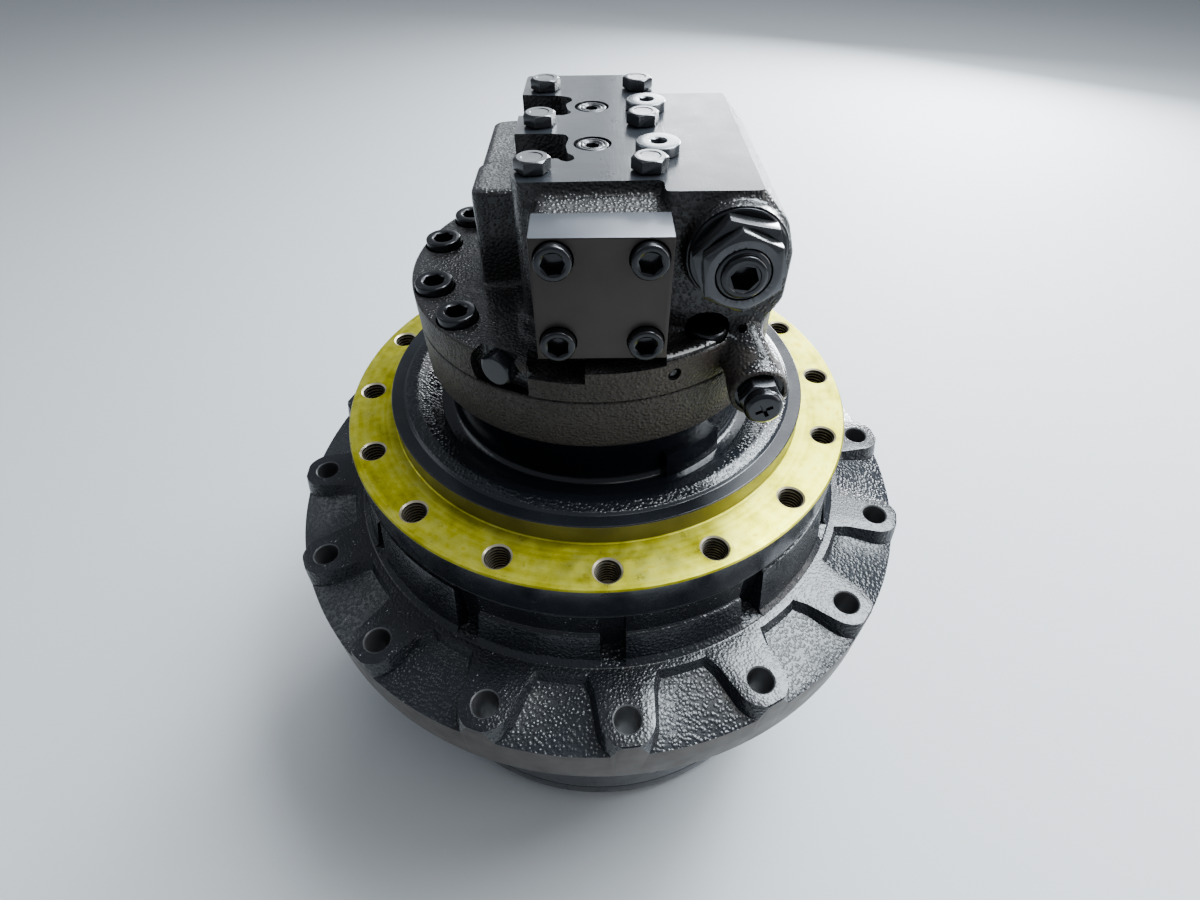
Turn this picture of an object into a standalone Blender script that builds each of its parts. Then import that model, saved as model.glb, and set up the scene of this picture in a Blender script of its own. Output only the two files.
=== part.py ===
"""Excavator final drive: a travel motor with its valve cover, and a two-stage planetary gearbox in a sprocket hub.

The drive stands on its end cover, with its axis along +Z and the valve cover's front plate facing -Y.
Heights below are counted from the frame mounting face, which an empty holds; depths count downwards from it.
"""

import math

import bmesh
import bpy
from mathutils import Matrix, Vector

# General sizes, in metres unless a name says otherwise
fit_gap = 0.0003
running_gap = 0.001
turning_gap = 0.0015
cut_overrun = 0.003
join_depth = 0.004
large_steps = 32
medium_steps = 16
small_steps = 16
screw_steps = 12
hole_steps = 8
smooth_angle_degrees = 32

# Spindle nose that carries the hub's bearings
frame_thickness = 0.032
seal_ring_width = 0.0174
seal_floor_wall = 0.0033
bearing_depth = frame_thickness + 2 * seal_ring_width + 3 * fit_gap + seal_floor_wall
nose_radius = 0.130
bearing_section = 0.040
bearing_outer_radius = nose_radius + bearing_section
seal_bore_step = 0.008
seal_ring_space = 0.028
seal_bore_radius = bearing_outer_radius - seal_bore_step
seal_rim_radius = seal_bore_radius + seal_ring_space
carrier_spigot_radius = 0.100
carrier_spigot_length = 0.0185

# Frame flange, its ring of threaded holes and the spigot that centres it
hub_rim_wall = 0.023
hub_barrel_radius = seal_rim_radius + hub_rim_wall
hub_barrel_inset = 0.002
frame_radius = hub_barrel_radius + hub_barrel_inset
frame_hole_count = 16
frame_hole_edge = 0.0165
frame_hole_circle_radius = frame_radius - frame_hole_edge
frame_hole_radius = 0.010
frame_hole_depth = 0.026
frame_hole_turn_degrees = 2.0
frame_land_width = 0.0394
spigot_radius = frame_radius - frame_land_width
spigot_height = 0.0185
spigot_land_width = 0.0106
spigot_bead_width = 0.017
spigot_bead_rise = 0.002
recess_slope_width = 0.006
recess_height = 0.006

# Motor case above the frame flange, and the joint with the valve cover
joint_height = 0.096
motor_bore_radius = 0.098
case_wall = 0.024
case_neck_radius = motor_bore_radius + case_wall
case_flange_width = 0.0142
case_flange_radius = case_neck_radius + case_flange_width
case_flange_thickness = 0.0393
case_flare_height = 0.010
motor_floor_thickness = 0.0435
shaft_bore_radius = 0.030

# Main bearings, their nut and the face seal
bearing_width = 0.034
bearing_spacing = 0.074
inner_race_share = 0.4
outer_race_share = 0.395
race_groove_share = 0.1
ball_share = 0.175
nut_share = 0.5
race_rim_radius = nose_radius + inner_race_share * bearing_section
race_groove_depth = race_groove_share * bearing_section
outer_race_rim_radius = bearing_outer_radius - outer_race_share * bearing_section
ball_row_radius = nose_radius + bearing_section / 2
ball_radius = ball_share * bearing_section
ball_row_sides = 4
nut_radius = nose_radius + nut_share * bearing_section
nut_width = 0.014
nut_end_gap = 0.0002
lower_bearing_end_depth = bearing_depth + bearing_spacing + bearing_width
nose_end_depth = lower_bearing_end_depth + fit_gap + nut_width + nut_end_gap
motor_floor_depth = nose_end_depth - motor_floor_thickness
seal_side_gap = 0.001

# Hub: barrel, stepped ring, sprocket flange and drum
hub_top_gap = 0.003
hub_step_width = 0.0055
hub_step_radius = hub_barrel_radius + hub_step_width
hub_rim_depth = 0.039
hub_step_depth = 0.060
hub_notch_count = 12
hub_notch_width = 0.019
hub_notch_depth = 0.006
hub_notch_floor_radius = hub_barrel_radius - hub_notch_depth
hub_notch_turn_degrees = 2.8
hub_tall_segment_period = 3
hub_tall_segment_first = 1
hub_notch_rise = 0.002
hub_notch_floor_rise = 0.001
recess_depth = 0.0015
recess_rise = 0.0005
recess_arc_steps = 4
recess_end_share = 0.5
pad_depth = 0.089
pocket_depth = 0.0165
flange_thickness = 0.061
drum_fillet = 0.008
hub_end_wall = 0.003
hub_end_depth = lower_bearing_end_depth + hub_end_wall
sprocket_hole_count = 16
sprocket_hole_reach = 0.046
sprocket_hole_circle_radius = hub_step_radius + sprocket_hole_reach
sprocket_hole_radius = 0.010
sprocket_hole_turn_degrees = 4.35
lobe_end_radius = 0.0195
lobe_root_half_width = 0.0215
flange_radius = sprocket_hole_circle_radius + lobe_end_radius
pocket_run = 0.0325
pocket_inner_radius = sprocket_hole_circle_radius - pocket_run
pocket_corner_radius = 0.010

# Gears: one toothed ring in the drum, two stages inside it
gear_module = 0.008
pressure_angle_degrees = 25
addendum_share = 0.8
dedendum_share = 1.0
tooth_play = 0.0008
ring_teeth = 48
second_sun_teeth = 18
second_planet_teeth = 15
first_sun_teeth = 12
first_planet_teeth = 18
planet_count = 3
second_gear_width = 0.050
first_gear_width = 0.035
pin_radius = 0.022
pin_clearance = 0.0008
second_plate_thickness = 0.018
second_lower_plate_thickness = 0.012
second_plate_inset = 0.0136
second_post_radius = 0.016
second_post_circle_radius = 0.148
second_sun_bore_radius = 0.026
second_sleeve_radius = 0.050
second_plate_bore_radius = 0.056
first_plate_thickness = 0.010
first_lower_plate_thickness = 0.008
first_plate_inset = 0.0276
first_lower_bore_radius = 0.030
carrier_gap = 0.003
shaft_radius = 0.022

# End cover with its screws and thrust pin
drum_wall = 0.032
cover_spigot_gap = 0.0056
cover_spigot_height = 0.012
cover_flange_thickness = 0.020
cover_flange_width = 0.046
cover_dish_depth = 0.0157
first_carrier_end_gap = 0.0065
cover_centre_boss_radius = 0.060
cover_centre_recess = 0.004
end_screw_count = 16
end_screw_inset = 0.0185
end_screw_head_flats = 0.019
end_screw_head_height = 0.010
thrust_pin_radius = 0.018
thrust_pin_gap = 0.0005

# Motor inside its bore
brake_space = 0.018
block_radius = motor_bore_radius - brake_space
swash_plate_gap = 0.014
swash_plate_radius = motor_bore_radius - swash_plate_gap
swash_plate_thickness = 0.028
shoe_plate_half_width = 0.017
shoe_plate_thickness = 0.008
piston_count = 9
piston_circle_share = 0.75
piston_circle_radius = piston_circle_share * block_radius
piston_radius = 0.0085
piston_length = 0.072
piston_gap = 0.0004
block_height = 0.115
piston_bare_length = 0.0284
block_end_depth = motor_floor_depth - swash_plate_thickness - shoe_plate_thickness - piston_bare_length - 2 * fit_gap
piston_bore_depth = 0.100
valve_plate_inset = 0.005
valve_plate_radius = block_radius - valve_plate_inset
valve_plate_thickness = 0.006
brake_disc_gap = 0.006
brake_disc_radius = motor_bore_radius - brake_disc_gap
brake_disc_thickness = 0.004
brake_disc_depth = 0.030
separator_block_gap = 0.003
separator_inner_radius = block_radius + separator_block_gap
separator_thickness = 0.004
brake_piston_block_gap = 0.005
brake_piston_inner_radius = block_radius + brake_piston_block_gap
brake_piston_height = 0.034
shaft_bearing_width = 0.018
motor_bearing_radius = 0.034
motor_bearing_width = 0.016
shaft_top_height = 0.060

# Valve cover: flange disc, spigot and the block cast on it
disc_thickness = 0.0265
cover_flange_top = joint_height + disc_thickness
cover_plug_height = 0.036
cover_seat_inset = 0.002
cover_seat_radius = block_radius - cover_seat_inset
strip_rise = 0.0935
strip_top = cover_flange_top + strip_rise
strip_left = -0.050
strip_right = 0.044
strip_front = -0.083
strip_back = 0.1125
strip_sink = 0.0045
strip_bottom = cover_flange_top - strip_sink
strip_corner = 0.006
left_body_left = -0.079
left_body_front = -0.038
left_body_back = 0.104
left_body_drop = 0.029
left_body_top = strip_top - left_body_drop
left_shoulder_drop = 0.009
left_body_shoulder = left_body_top - left_shoulder_drop
left_body_chamfer = 0.010
right_block_left = 0.0425
right_block_right = 0.118
right_block_front = -0.098
right_block_back = 0.067
right_block_shoulder_drop = 0.018
right_block_shoulder_width = 0.006
right_block_top_right = 0.090
neck_front = -0.1015
neck_back = -0.050
neck_left = -0.033
neck_right = 0.0425
neck_drop = 0.0105
neck_top = strip_top - neck_drop
neck_slope_run = 0.016
tab_pocket_depth = 0.026
tab_pocket_width = 0.042
tab_pocket_reach = 0.035
tab_pocket_corner = 0.012
tab_pocket_places = (-0.0325, 0.0435)
front_notch_left = -0.0425
front_notch_right = -0.0062
front_notch_back = -0.1125
front_notch_depth = 0.0105
front_notch_height = cover_flange_top - front_notch_depth

# Cover screws, in spot faces on the flange disc
cover_screw_inset = 0.0157
cover_screw_circle_radius = case_flange_radius - cover_screw_inset
cover_screw_degrees = (147.0, 168.0, 198.5, 220.0, 307.0, 341.5, 12.0, 33.0)
cover_screw_head_radius = 0.0135
cover_screw_head_height = 0.018
cover_screw_radius = 0.009
cover_screw_length = 0.045
cover_screw_socket = 0.014
cover_screw_seat_depth = 0.0122
cover_screw_seat_height = cover_flange_top - cover_screw_seat_depth
spot_face_clearance = 0.0006
screw_hole_clearance = 0.0003
hole_end_room = 0.003

# Front plate and its four screws
plate_front = -0.131
plate_thickness = 0.029
plate_half_width = 0.039
plate_half_height = 0.0393
plate_centre_x = 0.0045
plate_drop = 0.0094
plate_centre_height = strip_top - plate_drop - plate_half_height
plate_screw_half_spacing_x = 0.026
plate_screw_half_spacing_z = 0.0268
plate_screw_head_radius = 0.0105
plate_screw_head_height = 0.014
plate_screw_proud = 0.0056
plate_screw_radius = 0.007
plate_screw_length = 0.040
plate_screw_socket = 0.012
socket_depth_share = 0.5

# Bolts and plugs on the port strip
port_bolt_left = -0.0345
port_bolt_right = 0.033
port_bolt_rows = (-0.068, 0.0065, 0.0795)
port_bolt_flats = 0.019
port_bolt_head_height = 0.0078
port_bolt_radius = 0.006
port_bolt_length = 0.020
port_cap_places = ((0.0395, -0.042), (0.0365, 0.034))
port_cap_radius = 0.0136
port_cap_height = 0.0063
port_cap_hole_flats = 0.009
port_cap_stem_radius = 0.008
port_cap_stem_length = 0.012
gauge_plug_places = ((0.0, -0.028), (-0.0006, 0.0405))
gauge_plug_radius = 0.0105
gauge_plug_ring_gap = 0.0012
gauge_plug_height = 0.010
gauge_plug_sink = 0.0005
gauge_plug_socket = 0.008

# Spool plug on the right block's front, with its lock nut and adjuster
spool_x = 0.0825
spool_drop = 0.0335
spool_height = strip_top - spool_drop
spool_boss_radius = 0.029
spool_boss_length = 0.009
spool_flange_radius = 0.0275
spool_flange_thickness = 0.004
spool_hex_flats = 0.046
spool_hex_height = 0.009
spool_stem_radius = 0.020
spool_stem_length = 0.030
lock_nut_flats = 0.041
lock_nut_height = 0.0085
adjuster_radius = 0.0155
adjuster_proud = 0.0042
adjuster_socket = 0.017

# Relief valve on its boss at the lower right
relief_x = 0.106
relief_rise = 0.001
relief_height = joint_height + relief_rise
relief_boss_radius = 0.0155
relief_boss_end = -0.127
relief_boss_start = -0.060
relief_boss_low_start = -0.104
relief_hex_flats = 0.024
relief_hex_height = 0.0095
relief_cap_radius = 0.0125
relief_cap_height = 0.009
relief_stem_radius = 0.009
relief_stem_length = 0.022

# Drain plug in a flat on the flange disc's rim
drain_degrees = 242.0
drain_drop = 0.012
drain_height = cover_flange_top - drain_drop
drain_seat_inset = 0.0087
drain_seat_radius = case_flange_radius - drain_seat_inset
drain_seat_half_width = 0.021
drain_seat_rise = 0.0025
drain_seat_bottom = joint_height + drain_seat_rise
drain_flats = 0.0205
drain_head_height = 0.009
drain_stem_radius = 0.008
drain_stem_length = 0.014


def clear_scene():
    for piece in list(bpy.data.objects):
        bpy.data.objects.remove(piece, do_unlink=True)


def principled(name, colour, roughness, metallic):
    material = bpy.data.materials.new(name)
    material.use_nodes = True
    shader = material.node_tree.nodes["Principled BSDF"]
    shader.inputs["Base Color"].default_value = (*colour, 1)
    shader.inputs["Roughness"].default_value = roughness
    shader.inputs["Metallic"].default_value = metallic
    material.diffuse_color = (*colour, 1)
    return material


def make_materials():
    return {
        "casting": principled("black_casting_paint", (0.016, 0.017, 0.020), 0.35, 0.0),
        "machined": principled("painted_machined_steel", (0.10, 0.11, 0.13), 0.30, 0.6),
        "passivated": principled("yellow_passivated_iron", (0.55, 0.48, 0.10), 0.38, 0.7),
        "screw": principled("black_oxide_steel", (0.03, 0.03, 0.035), 0.32, 0.8),
        "gear": principled("ground_gear_steel", (0.42, 0.43, 0.45), 0.28, 1.0),
        "bronze": principled("bearing_bronze", (0.55, 0.38, 0.16), 0.35, 1.0),
        "friction": principled("friction_lining", (0.16, 0.12, 0.09), 0.75, 0.0),
    }


def finish_mesh(name, bm):
    bmesh.ops.recalc_face_normals(bm, faces=bm.faces)
    mesh = bpy.data.meshes.new(name)
    bm.to_mesh(mesh)
    bm.free()
    mesh.shade_smooth()
    mesh.set_sharp_from_angle(angle=math.radians(smooth_angle_degrees))
    return mesh


def facing_front(turn_degrees=0.0):
    """Turns local +Z to world -Y, then the whole about Z."""
    return Matrix.Rotation(math.radians(turn_degrees), 4, "Z") @ Matrix.Rotation(math.pi / 2, 4, "X")


def add_object(name, mesh, material, place=(0, 0, 0), rotation=None):
    """Places a mesh in the frame whose origin is the frame mounting face."""
    piece = bpy.data.objects.new(name, mesh)
    bpy.context.scene.collection.objects.link(piece)
    piece.parent = face_frame
    piece.matrix_basis = Matrix.Translation(Vector(place)) @ (rotation or Matrix.Identity(4))
    if material and not mesh.materials:
        mesh.materials.append(material)
    return piece


def add_tool(name, mesh, place=(0, 0, 0), rotation=None):
    """A shape that only cuts or joins another."""
    tool = add_object(name, mesh, None, place, rotation)
    tool.hide_render = True
    tool.display_type = "WIRE"
    return tool


def boolean(target, tool, operation):
    modifier = target.modifiers.new(tool.name, "BOOLEAN")
    modifier.operation = operation
    modifier.object = tool


def circle(radius, steps, centre=(0, 0)):
    return [
        (
            centre[0] + radius * math.cos(2 * math.pi * step / steps),
            centre[1] + radius * math.sin(2 * math.pi * step / steps),
        )
        for step in range(steps)
    ]


def hexagon(flats):
    """A hexagon with a point at each corner and in the middle of each flat, to meet a circle of screw_steps."""
    corner = flats / math.sqrt(3)
    points = []
    for step in range(12):
        radius = corner if step % 2 == 0 else flats / 2
        points.append((radius * math.cos(math.pi * step / 6), radius * math.sin(math.pi * step / 6)))
    return points


def rectangle(left, right, front, back, corner=0.0):
    """A rectangle seen from above, with its corners cut off where a corner size is given."""
    if corner == 0:
        return [(left, front), (right, front), (right, back), (left, back)]
    return [
        (left + corner, front),
        (right - corner, front),
        (right, front + corner),
        (right, back - corner),
        (right - corner, back),
        (left + corner, back),
        (left, back - corner),
        (left, front + corner),
    ]


def add_stack(bm, sections, centre=(0, 0)):
    """Joins a row of outlines of as many points each, from low to high, and closes both ends."""
    rings = []
    for outline, height in sections:
        rings.append([bm.verts.new((centre[0] + x, centre[1] + y, height)) for x, y in outline])
    for lower, upper in zip(rings, rings[1:]):
        for index in range(len(lower)):
            bm.faces.new((lower[index - 1], lower[index], upper[index], upper[index - 1]))
    bm.faces.new(rings[0])
    bm.faces.new(rings[-1])


def stacked(name, sections):
    bm = bmesh.new()
    add_stack(bm, sections)
    return finish_mesh(name, bm)


def stacks(name, rows):
    """Several closed stacks in one mesh; each row is its sections and its centre."""
    bm = bmesh.new()
    for sections, centre in rows:
        add_stack(bm, sections, centre)
    return finish_mesh(name, bm)


def turned(name, profile, steps):
    """A closed (radius, height) profile, clear of the axis, turned about Z."""
    bm = bmesh.new()
    rows = []
    for step in range(steps):
        angle = 2 * math.pi * step / steps
        rows.append([bm.verts.new((r * math.cos(angle), r * math.sin(angle), z)) for r, z in profile])
    for row in range(steps):
        for index in range(len(profile)):
            near, far = rows[row - 1], rows[row]
            bm.faces.new((near[index - 1], near[index], far[index], far[index - 1]))
    return finish_mesh(name, bm)


def ring_mesh(name, inner_radius, outer_radius, low, high, steps):
    profile = [(inner_radius, low), (outer_radius, low), (outer_radius, high), (inner_radius, high)]
    return turned(name, profile, steps)


def pierced(name, outer, inner, low, high):
    """A plate with one hole: two outlines of any number of points, between two heights."""
    bm = bmesh.new()
    for outline in (outer, inner):
        rings = [[bm.verts.new((x, y, height)) for x, y in outline] for height in (low, high)]
        for index in range(len(outline)):
            bm.faces.new((rings[0][index - 1], rings[0][index], rings[1][index], rings[1][index - 1]))
    for height in (low, high):
        rim = [edge for edge in bm.edges if all(abs(v.co.z - height) < fit_gap for v in edge.verts)]
        bmesh.ops.triangle_fill(bm, edges=rim, use_beauty=True, use_dissolve=False)
    return finish_mesh(name, bm)


def around(count, turn_degrees=0.0):
    return [math.radians(turn_degrees) + 2 * math.pi * index / count for index in range(count)]


def polar(radius, angle):
    return radius * math.cos(angle), radius * math.sin(angle)


def holes(name, radius, low, high, centres, steps=hole_steps):
    outline = circle(radius, steps)
    return stacks(name, [([(outline, low), (outline, high)], centre) for centre in centres])


def involute(angle):
    return math.tan(angle) - angle


def pitch_radius(teeth):
    return teeth * gear_module / 2


def tooth_outline(teeth, play, root_radius, tip_radius):
    """Teeth about the Z axis with the first centred on +X; play widens or narrows each of them at the pitch circle."""
    pitch = pitch_radius(teeth)
    pressure = math.radians(pressure_angle_degrees)
    base = pitch * math.cos(pressure)

    def half_angle(radius):
        lean = math.acos(base / max(radius, base))
        return math.pi / (2 * teeth) + play / (2 * pitch) + involute(pressure) - involute(lean)

    radii = (root_radius, tip_radius)
    points = []
    for centre in around(teeth):
        points += [polar(radius, centre - half_angle(radius)) for radius in radii]
        points += [polar(radius, centre + half_angle(radius)) for radius in reversed(radii)]
    return points


def gear_outline(teeth):
    pitch = pitch_radius(teeth)
    root = pitch - dedendum_share * gear_module
    return tooth_outline(teeth, -tooth_play, root, pitch + addendum_share * gear_module)


def ring_tip_radius():
    return pitch_radius(ring_teeth) - addendum_share * gear_module


def ring_outline():
    """The toothed ring's hollow: it has the form of an outer gear's teeth."""
    return tooth_outline(ring_teeth, tooth_play, ring_tip_radius(), ring_root_radius)


def planet_turn(place_angle, planet_teeth):
    """The turn that puts a planet's teeth in the ring's hollows, whose first is centred on +X."""
    ring_phase = place_angle * ring_teeth
    return place_angle - ring_phase / planet_teeth


def sun_turn(place_angle, planet_teeth, sun_teeth):
    """The turn that puts a sun's teeth between those of the planet at place_angle."""
    planet_phase = (place_angle + math.pi - planet_turn(place_angle, planet_teeth)) * planet_teeth
    return place_angle + (planet_phase + math.pi) / sun_teeth


def screw_sections(head, head_height, shank_radius, length, socket):
    """A cap screw that stands on height 0, with its shank below and a hexagon socket on top."""
    shank = circle(shank_radius, screw_steps)
    floor = head_height * (1 - socket_depth_share)
    return [
        (shank, -length),
        (shank, 0),
        (head, 0),
        (head, head_height),
        (hexagon(socket), head_height),
        (hexagon(socket), floor),
    ]


def bolt_sections(flats, head_height, shank_radius, length):
    shank = circle(shank_radius, screw_steps)
    return [(shank, -length), (shank, 0), (hexagon(flats), 0), (hexagon(flats), head_height)]


# Radii, heights and depths that follow from the sizes above
ring_root_radius = pitch_radius(ring_teeth) + dedendum_share * gear_module
drum_radius = ring_root_radius + drum_wall
cover_spigot_radius = ring_tip_radius() - cover_spigot_gap
cover_dish_radius = drum_radius - cover_flange_width
end_screw_circle_radius = drum_radius - end_screw_inset
second_plate_radius = ring_tip_radius() - second_plate_inset
first_plate_radius = ring_tip_radius() - first_plate_inset
case_flange_bottom = joint_height - case_flange_thickness
upper_bearing_top = -bearing_depth
lower_bearing_top = upper_bearing_top - bearing_spacing
second_plate_top = -nose_end_depth - fit_gap
second_gear_top = second_plate_top - second_plate_thickness - running_gap
second_lower_plate_top = second_gear_top - second_gear_width - running_gap
second_carrier_bottom = second_lower_plate_top - second_lower_plate_thickness
first_plate_top = second_carrier_bottom - carrier_gap
first_gear_top = first_plate_top - first_plate_thickness - running_gap
first_lower_plate_top = first_gear_top - first_gear_width - running_gap
second_circle_radius = pitch_radius(second_sun_teeth) + pitch_radius(second_planet_teeth)
first_circle_radius = pitch_radius(first_sun_teeth) + pitch_radius(first_planet_teeth)
cover_joint_height = joint_height + fit_gap
block_top = block_height - block_end_depth
swash_plate_top = -motor_floor_depth + fit_gap + swash_plate_thickness
shoe_plate_bottom = swash_plate_top + fit_gap
cover_seat_height = block_top + valve_plate_thickness + 2 * fit_gap


first_carrier_bottom = first_lower_plate_top - first_lower_plate_thickness
cover_joint_depth = cover_spigot_height + first_carrier_end_gap - first_carrier_bottom
drum_end_depth = cover_joint_depth - fit_gap
face_height = cover_joint_depth + cover_flange_thickness + cover_dish_depth


def spindle_profile():
    bead_outer = spigot_radius - spigot_land_width
    bead_inner = bead_outer - spigot_bead_width
    bead_top = spigot_height + spigot_bead_rise
    nose_tip = -nose_end_depth - carrier_spigot_length
    return [
        (motor_bore_radius, joint_height),
        (case_flange_radius, joint_height),
        (case_flange_radius, case_flange_bottom),
        (case_neck_radius, case_flange_bottom - case_flare_height),
        (case_neck_radius, recess_height),
        (bead_inner - recess_slope_width, recess_height),
        (bead_inner + spigot_bead_width / 4, bead_top),
        (bead_outer - spigot_bead_width / 4, bead_top),
        (bead_outer, spigot_height),
        (spigot_radius, spigot_height),
        (spigot_radius, 0),
        (frame_radius, 0),
        (frame_radius, -frame_thickness),
        (seal_bore_radius, -frame_thickness),
        (seal_bore_radius, -bearing_depth + fit_gap),
        (nose_radius, -bearing_depth + fit_gap),
        (nose_radius, -nose_end_depth),
        (carrier_spigot_radius, -nose_end_depth),
        (carrier_spigot_radius, nose_tip),
        (shaft_bore_radius, nose_tip),
        (shaft_bore_radius, -motor_floor_depth),
        (motor_bore_radius, -motor_floor_depth),
    ]


def cover_screw_places():
    return [polar(cover_screw_circle_radius, math.radians(angle)) for angle in cover_screw_degrees]


def make_spindle():
    spindle = add_object("spindle", turned("spindle", spindle_profile(), large_steps), materials["passivated"])
    frame_holes = [
        polar(frame_hole_circle_radius, angle)
        for angle in around(frame_hole_count, -90 + frame_hole_turn_degrees)
    ]
    drill = holes("frame_hole_drill", frame_hole_radius, -frame_hole_depth, cut_overrun, frame_holes)
    boolean(spindle, add_tool("frame_hole_drill", drill), "DIFFERENCE")
    low = cover_screw_seat_height - cover_screw_length - hole_end_room
    tap_radius = cover_screw_radius + screw_hole_clearance
    high = joint_height + cut_overrun
    tap = holes("cover_screw_tap", tap_radius, low, high, cover_screw_places(), screw_steps)
    boolean(spindle, add_tool("cover_screw_tap", tap), "DIFFERENCE")


def make_bearings():
    mid = bearing_width / 2
    inner = [
        (nose_radius + fit_gap, -bearing_width),
        (race_rim_radius, -bearing_width),
        (race_rim_radius - race_groove_depth, -mid),
        (race_rim_radius, 0),
        (nose_radius + fit_gap, 0),
    ]
    outer = [
        (bearing_outer_radius, 0),
        (outer_race_rim_radius, 0),
        (outer_race_rim_radius + race_groove_depth, -mid),
        (outer_race_rim_radius, -bearing_width),
        (bearing_outer_radius, -bearing_width),
    ]
    row = [
        (ball_row_radius + ball_radius * math.cos(angle), -mid + ball_radius * math.sin(angle))
        for angle in around(ball_row_sides)
    ]
    inner_mesh = turned("bearing_inner_ring", inner, large_steps)
    outer_mesh = turned("bearing_outer_ring", outer, large_steps)
    row_mesh = turned("bearing_ball_row", row, large_steps)
    for level, top in (("upper", upper_bearing_top), ("lower", lower_bearing_top)):
        add_object(f"{level}_bearing_inner_ring", inner_mesh, materials["gear"], (0, 0, top))
        add_object(f"{level}_bearing_outer_ring", outer_mesh, materials["gear"], (0, 0, top))
        add_object(f"{level}_bearing_ball_row", row_mesh, materials["gear"], (0, 0, top))
    nut_top = lower_bearing_top - bearing_width - fit_gap
    nut = ring_mesh("bearing_nut", nose_radius + fit_gap, nut_radius, nut_top - nut_width, nut_top, large_steps)
    add_object("bearing_nut", nut, materials["gear"])


def make_seal_rings():
    inner = seal_bore_radius + seal_side_gap
    outer = seal_rim_radius - seal_side_gap
    top = -frame_thickness - fit_gap
    middle = top - seal_ring_width
    spindle_ring = ring_mesh("spindle_seal_ring", inner, outer, middle, top, large_steps)
    add_object("spindle_seal_ring", spindle_ring, materials["gear"])
    low_top = middle - fit_gap
    hub_ring = ring_mesh("hub_seal_ring", inner, outer, hub_seal_floor() + fit_gap, low_top, large_steps)
    add_object("hub_seal_ring", hub_ring, materials["gear"])


def hub_seal_floor():
    return -frame_thickness - 2 * seal_ring_width - 3 * fit_gap


def hub_profile():
    bearing_bore = bearing_outer_radius + fit_gap
    shoulder = outer_race_rim_radius + race_groove_depth
    upper_seat = upper_bearing_top - bearing_width - fit_gap
    lower_seat = lower_bearing_top + fit_gap
    flange_bottom = -pad_depth - flange_thickness
    return [
        (seal_rim_radius, -frame_thickness - hub_top_gap),
        (hub_barrel_radius, -frame_thickness - hub_top_gap),
        (hub_barrel_radius, -hub_rim_depth),
        (hub_step_radius, -hub_rim_depth),
        (hub_step_radius, -pad_depth),
        (flange_radius, -pad_depth),
        (flange_radius, flange_bottom),
        (drum_radius + drum_fillet, flange_bottom),
        (drum_radius, flange_bottom - drum_fillet),
        (drum_radius, -hub_end_depth),
        (bearing_bore, -hub_end_depth),
        (bearing_bore, lower_seat),
        (shoulder, lower_seat),
        (shoulder, upper_seat),
        (bearing_bore, upper_seat),
        (bearing_bore, hub_seal_floor()),
        (seal_rim_radius, hub_seal_floor()),
    ]


def pocket_outline(middle):
    """The sunk field between two lobes of the sprocket flange, about the angle midway between their holes."""
    half_pitch = math.pi / sprocket_hole_count
    hole_angle = half_pitch
    hole = Vector(polar(sprocket_hole_circle_radius, hole_angle))
    along = Vector(polar(1, hole_angle))
    aside = Vector((along.y, -along.x))
    beyond = flange_radius + cut_overrun
    side = [hole + along * (beyond - sprocket_hole_circle_radius) + aside * lobe_end_radius / 4]
    for share in (0.5, 1.0):
        lean = math.pi / 2 * (1 - share)
        side.append(hole + lobe_end_radius * (aside * math.cos(lean) + along * math.sin(lean)))
    root_run = sprocket_hole_circle_radius - pocket_inner_radius - pocket_corner_radius
    side.append(hole - along * root_run + aside * lobe_root_half_width)
    corner = side[-1] - along * pocket_corner_radius + aside * pocket_corner_radius
    side.append(corner.normalized() * pocket_inner_radius)
    upper = [(point.x, point.y) for point in side]
    lower = [(x, -y) for x, y in reversed(upper)]
    upper.insert(0, (beyond, 0))
    turn = Matrix.Rotation(middle, 2)
    return [tuple(turn @ Vector(point)) for point in upper + [(pocket_inner_radius, 0)] + lower]


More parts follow.
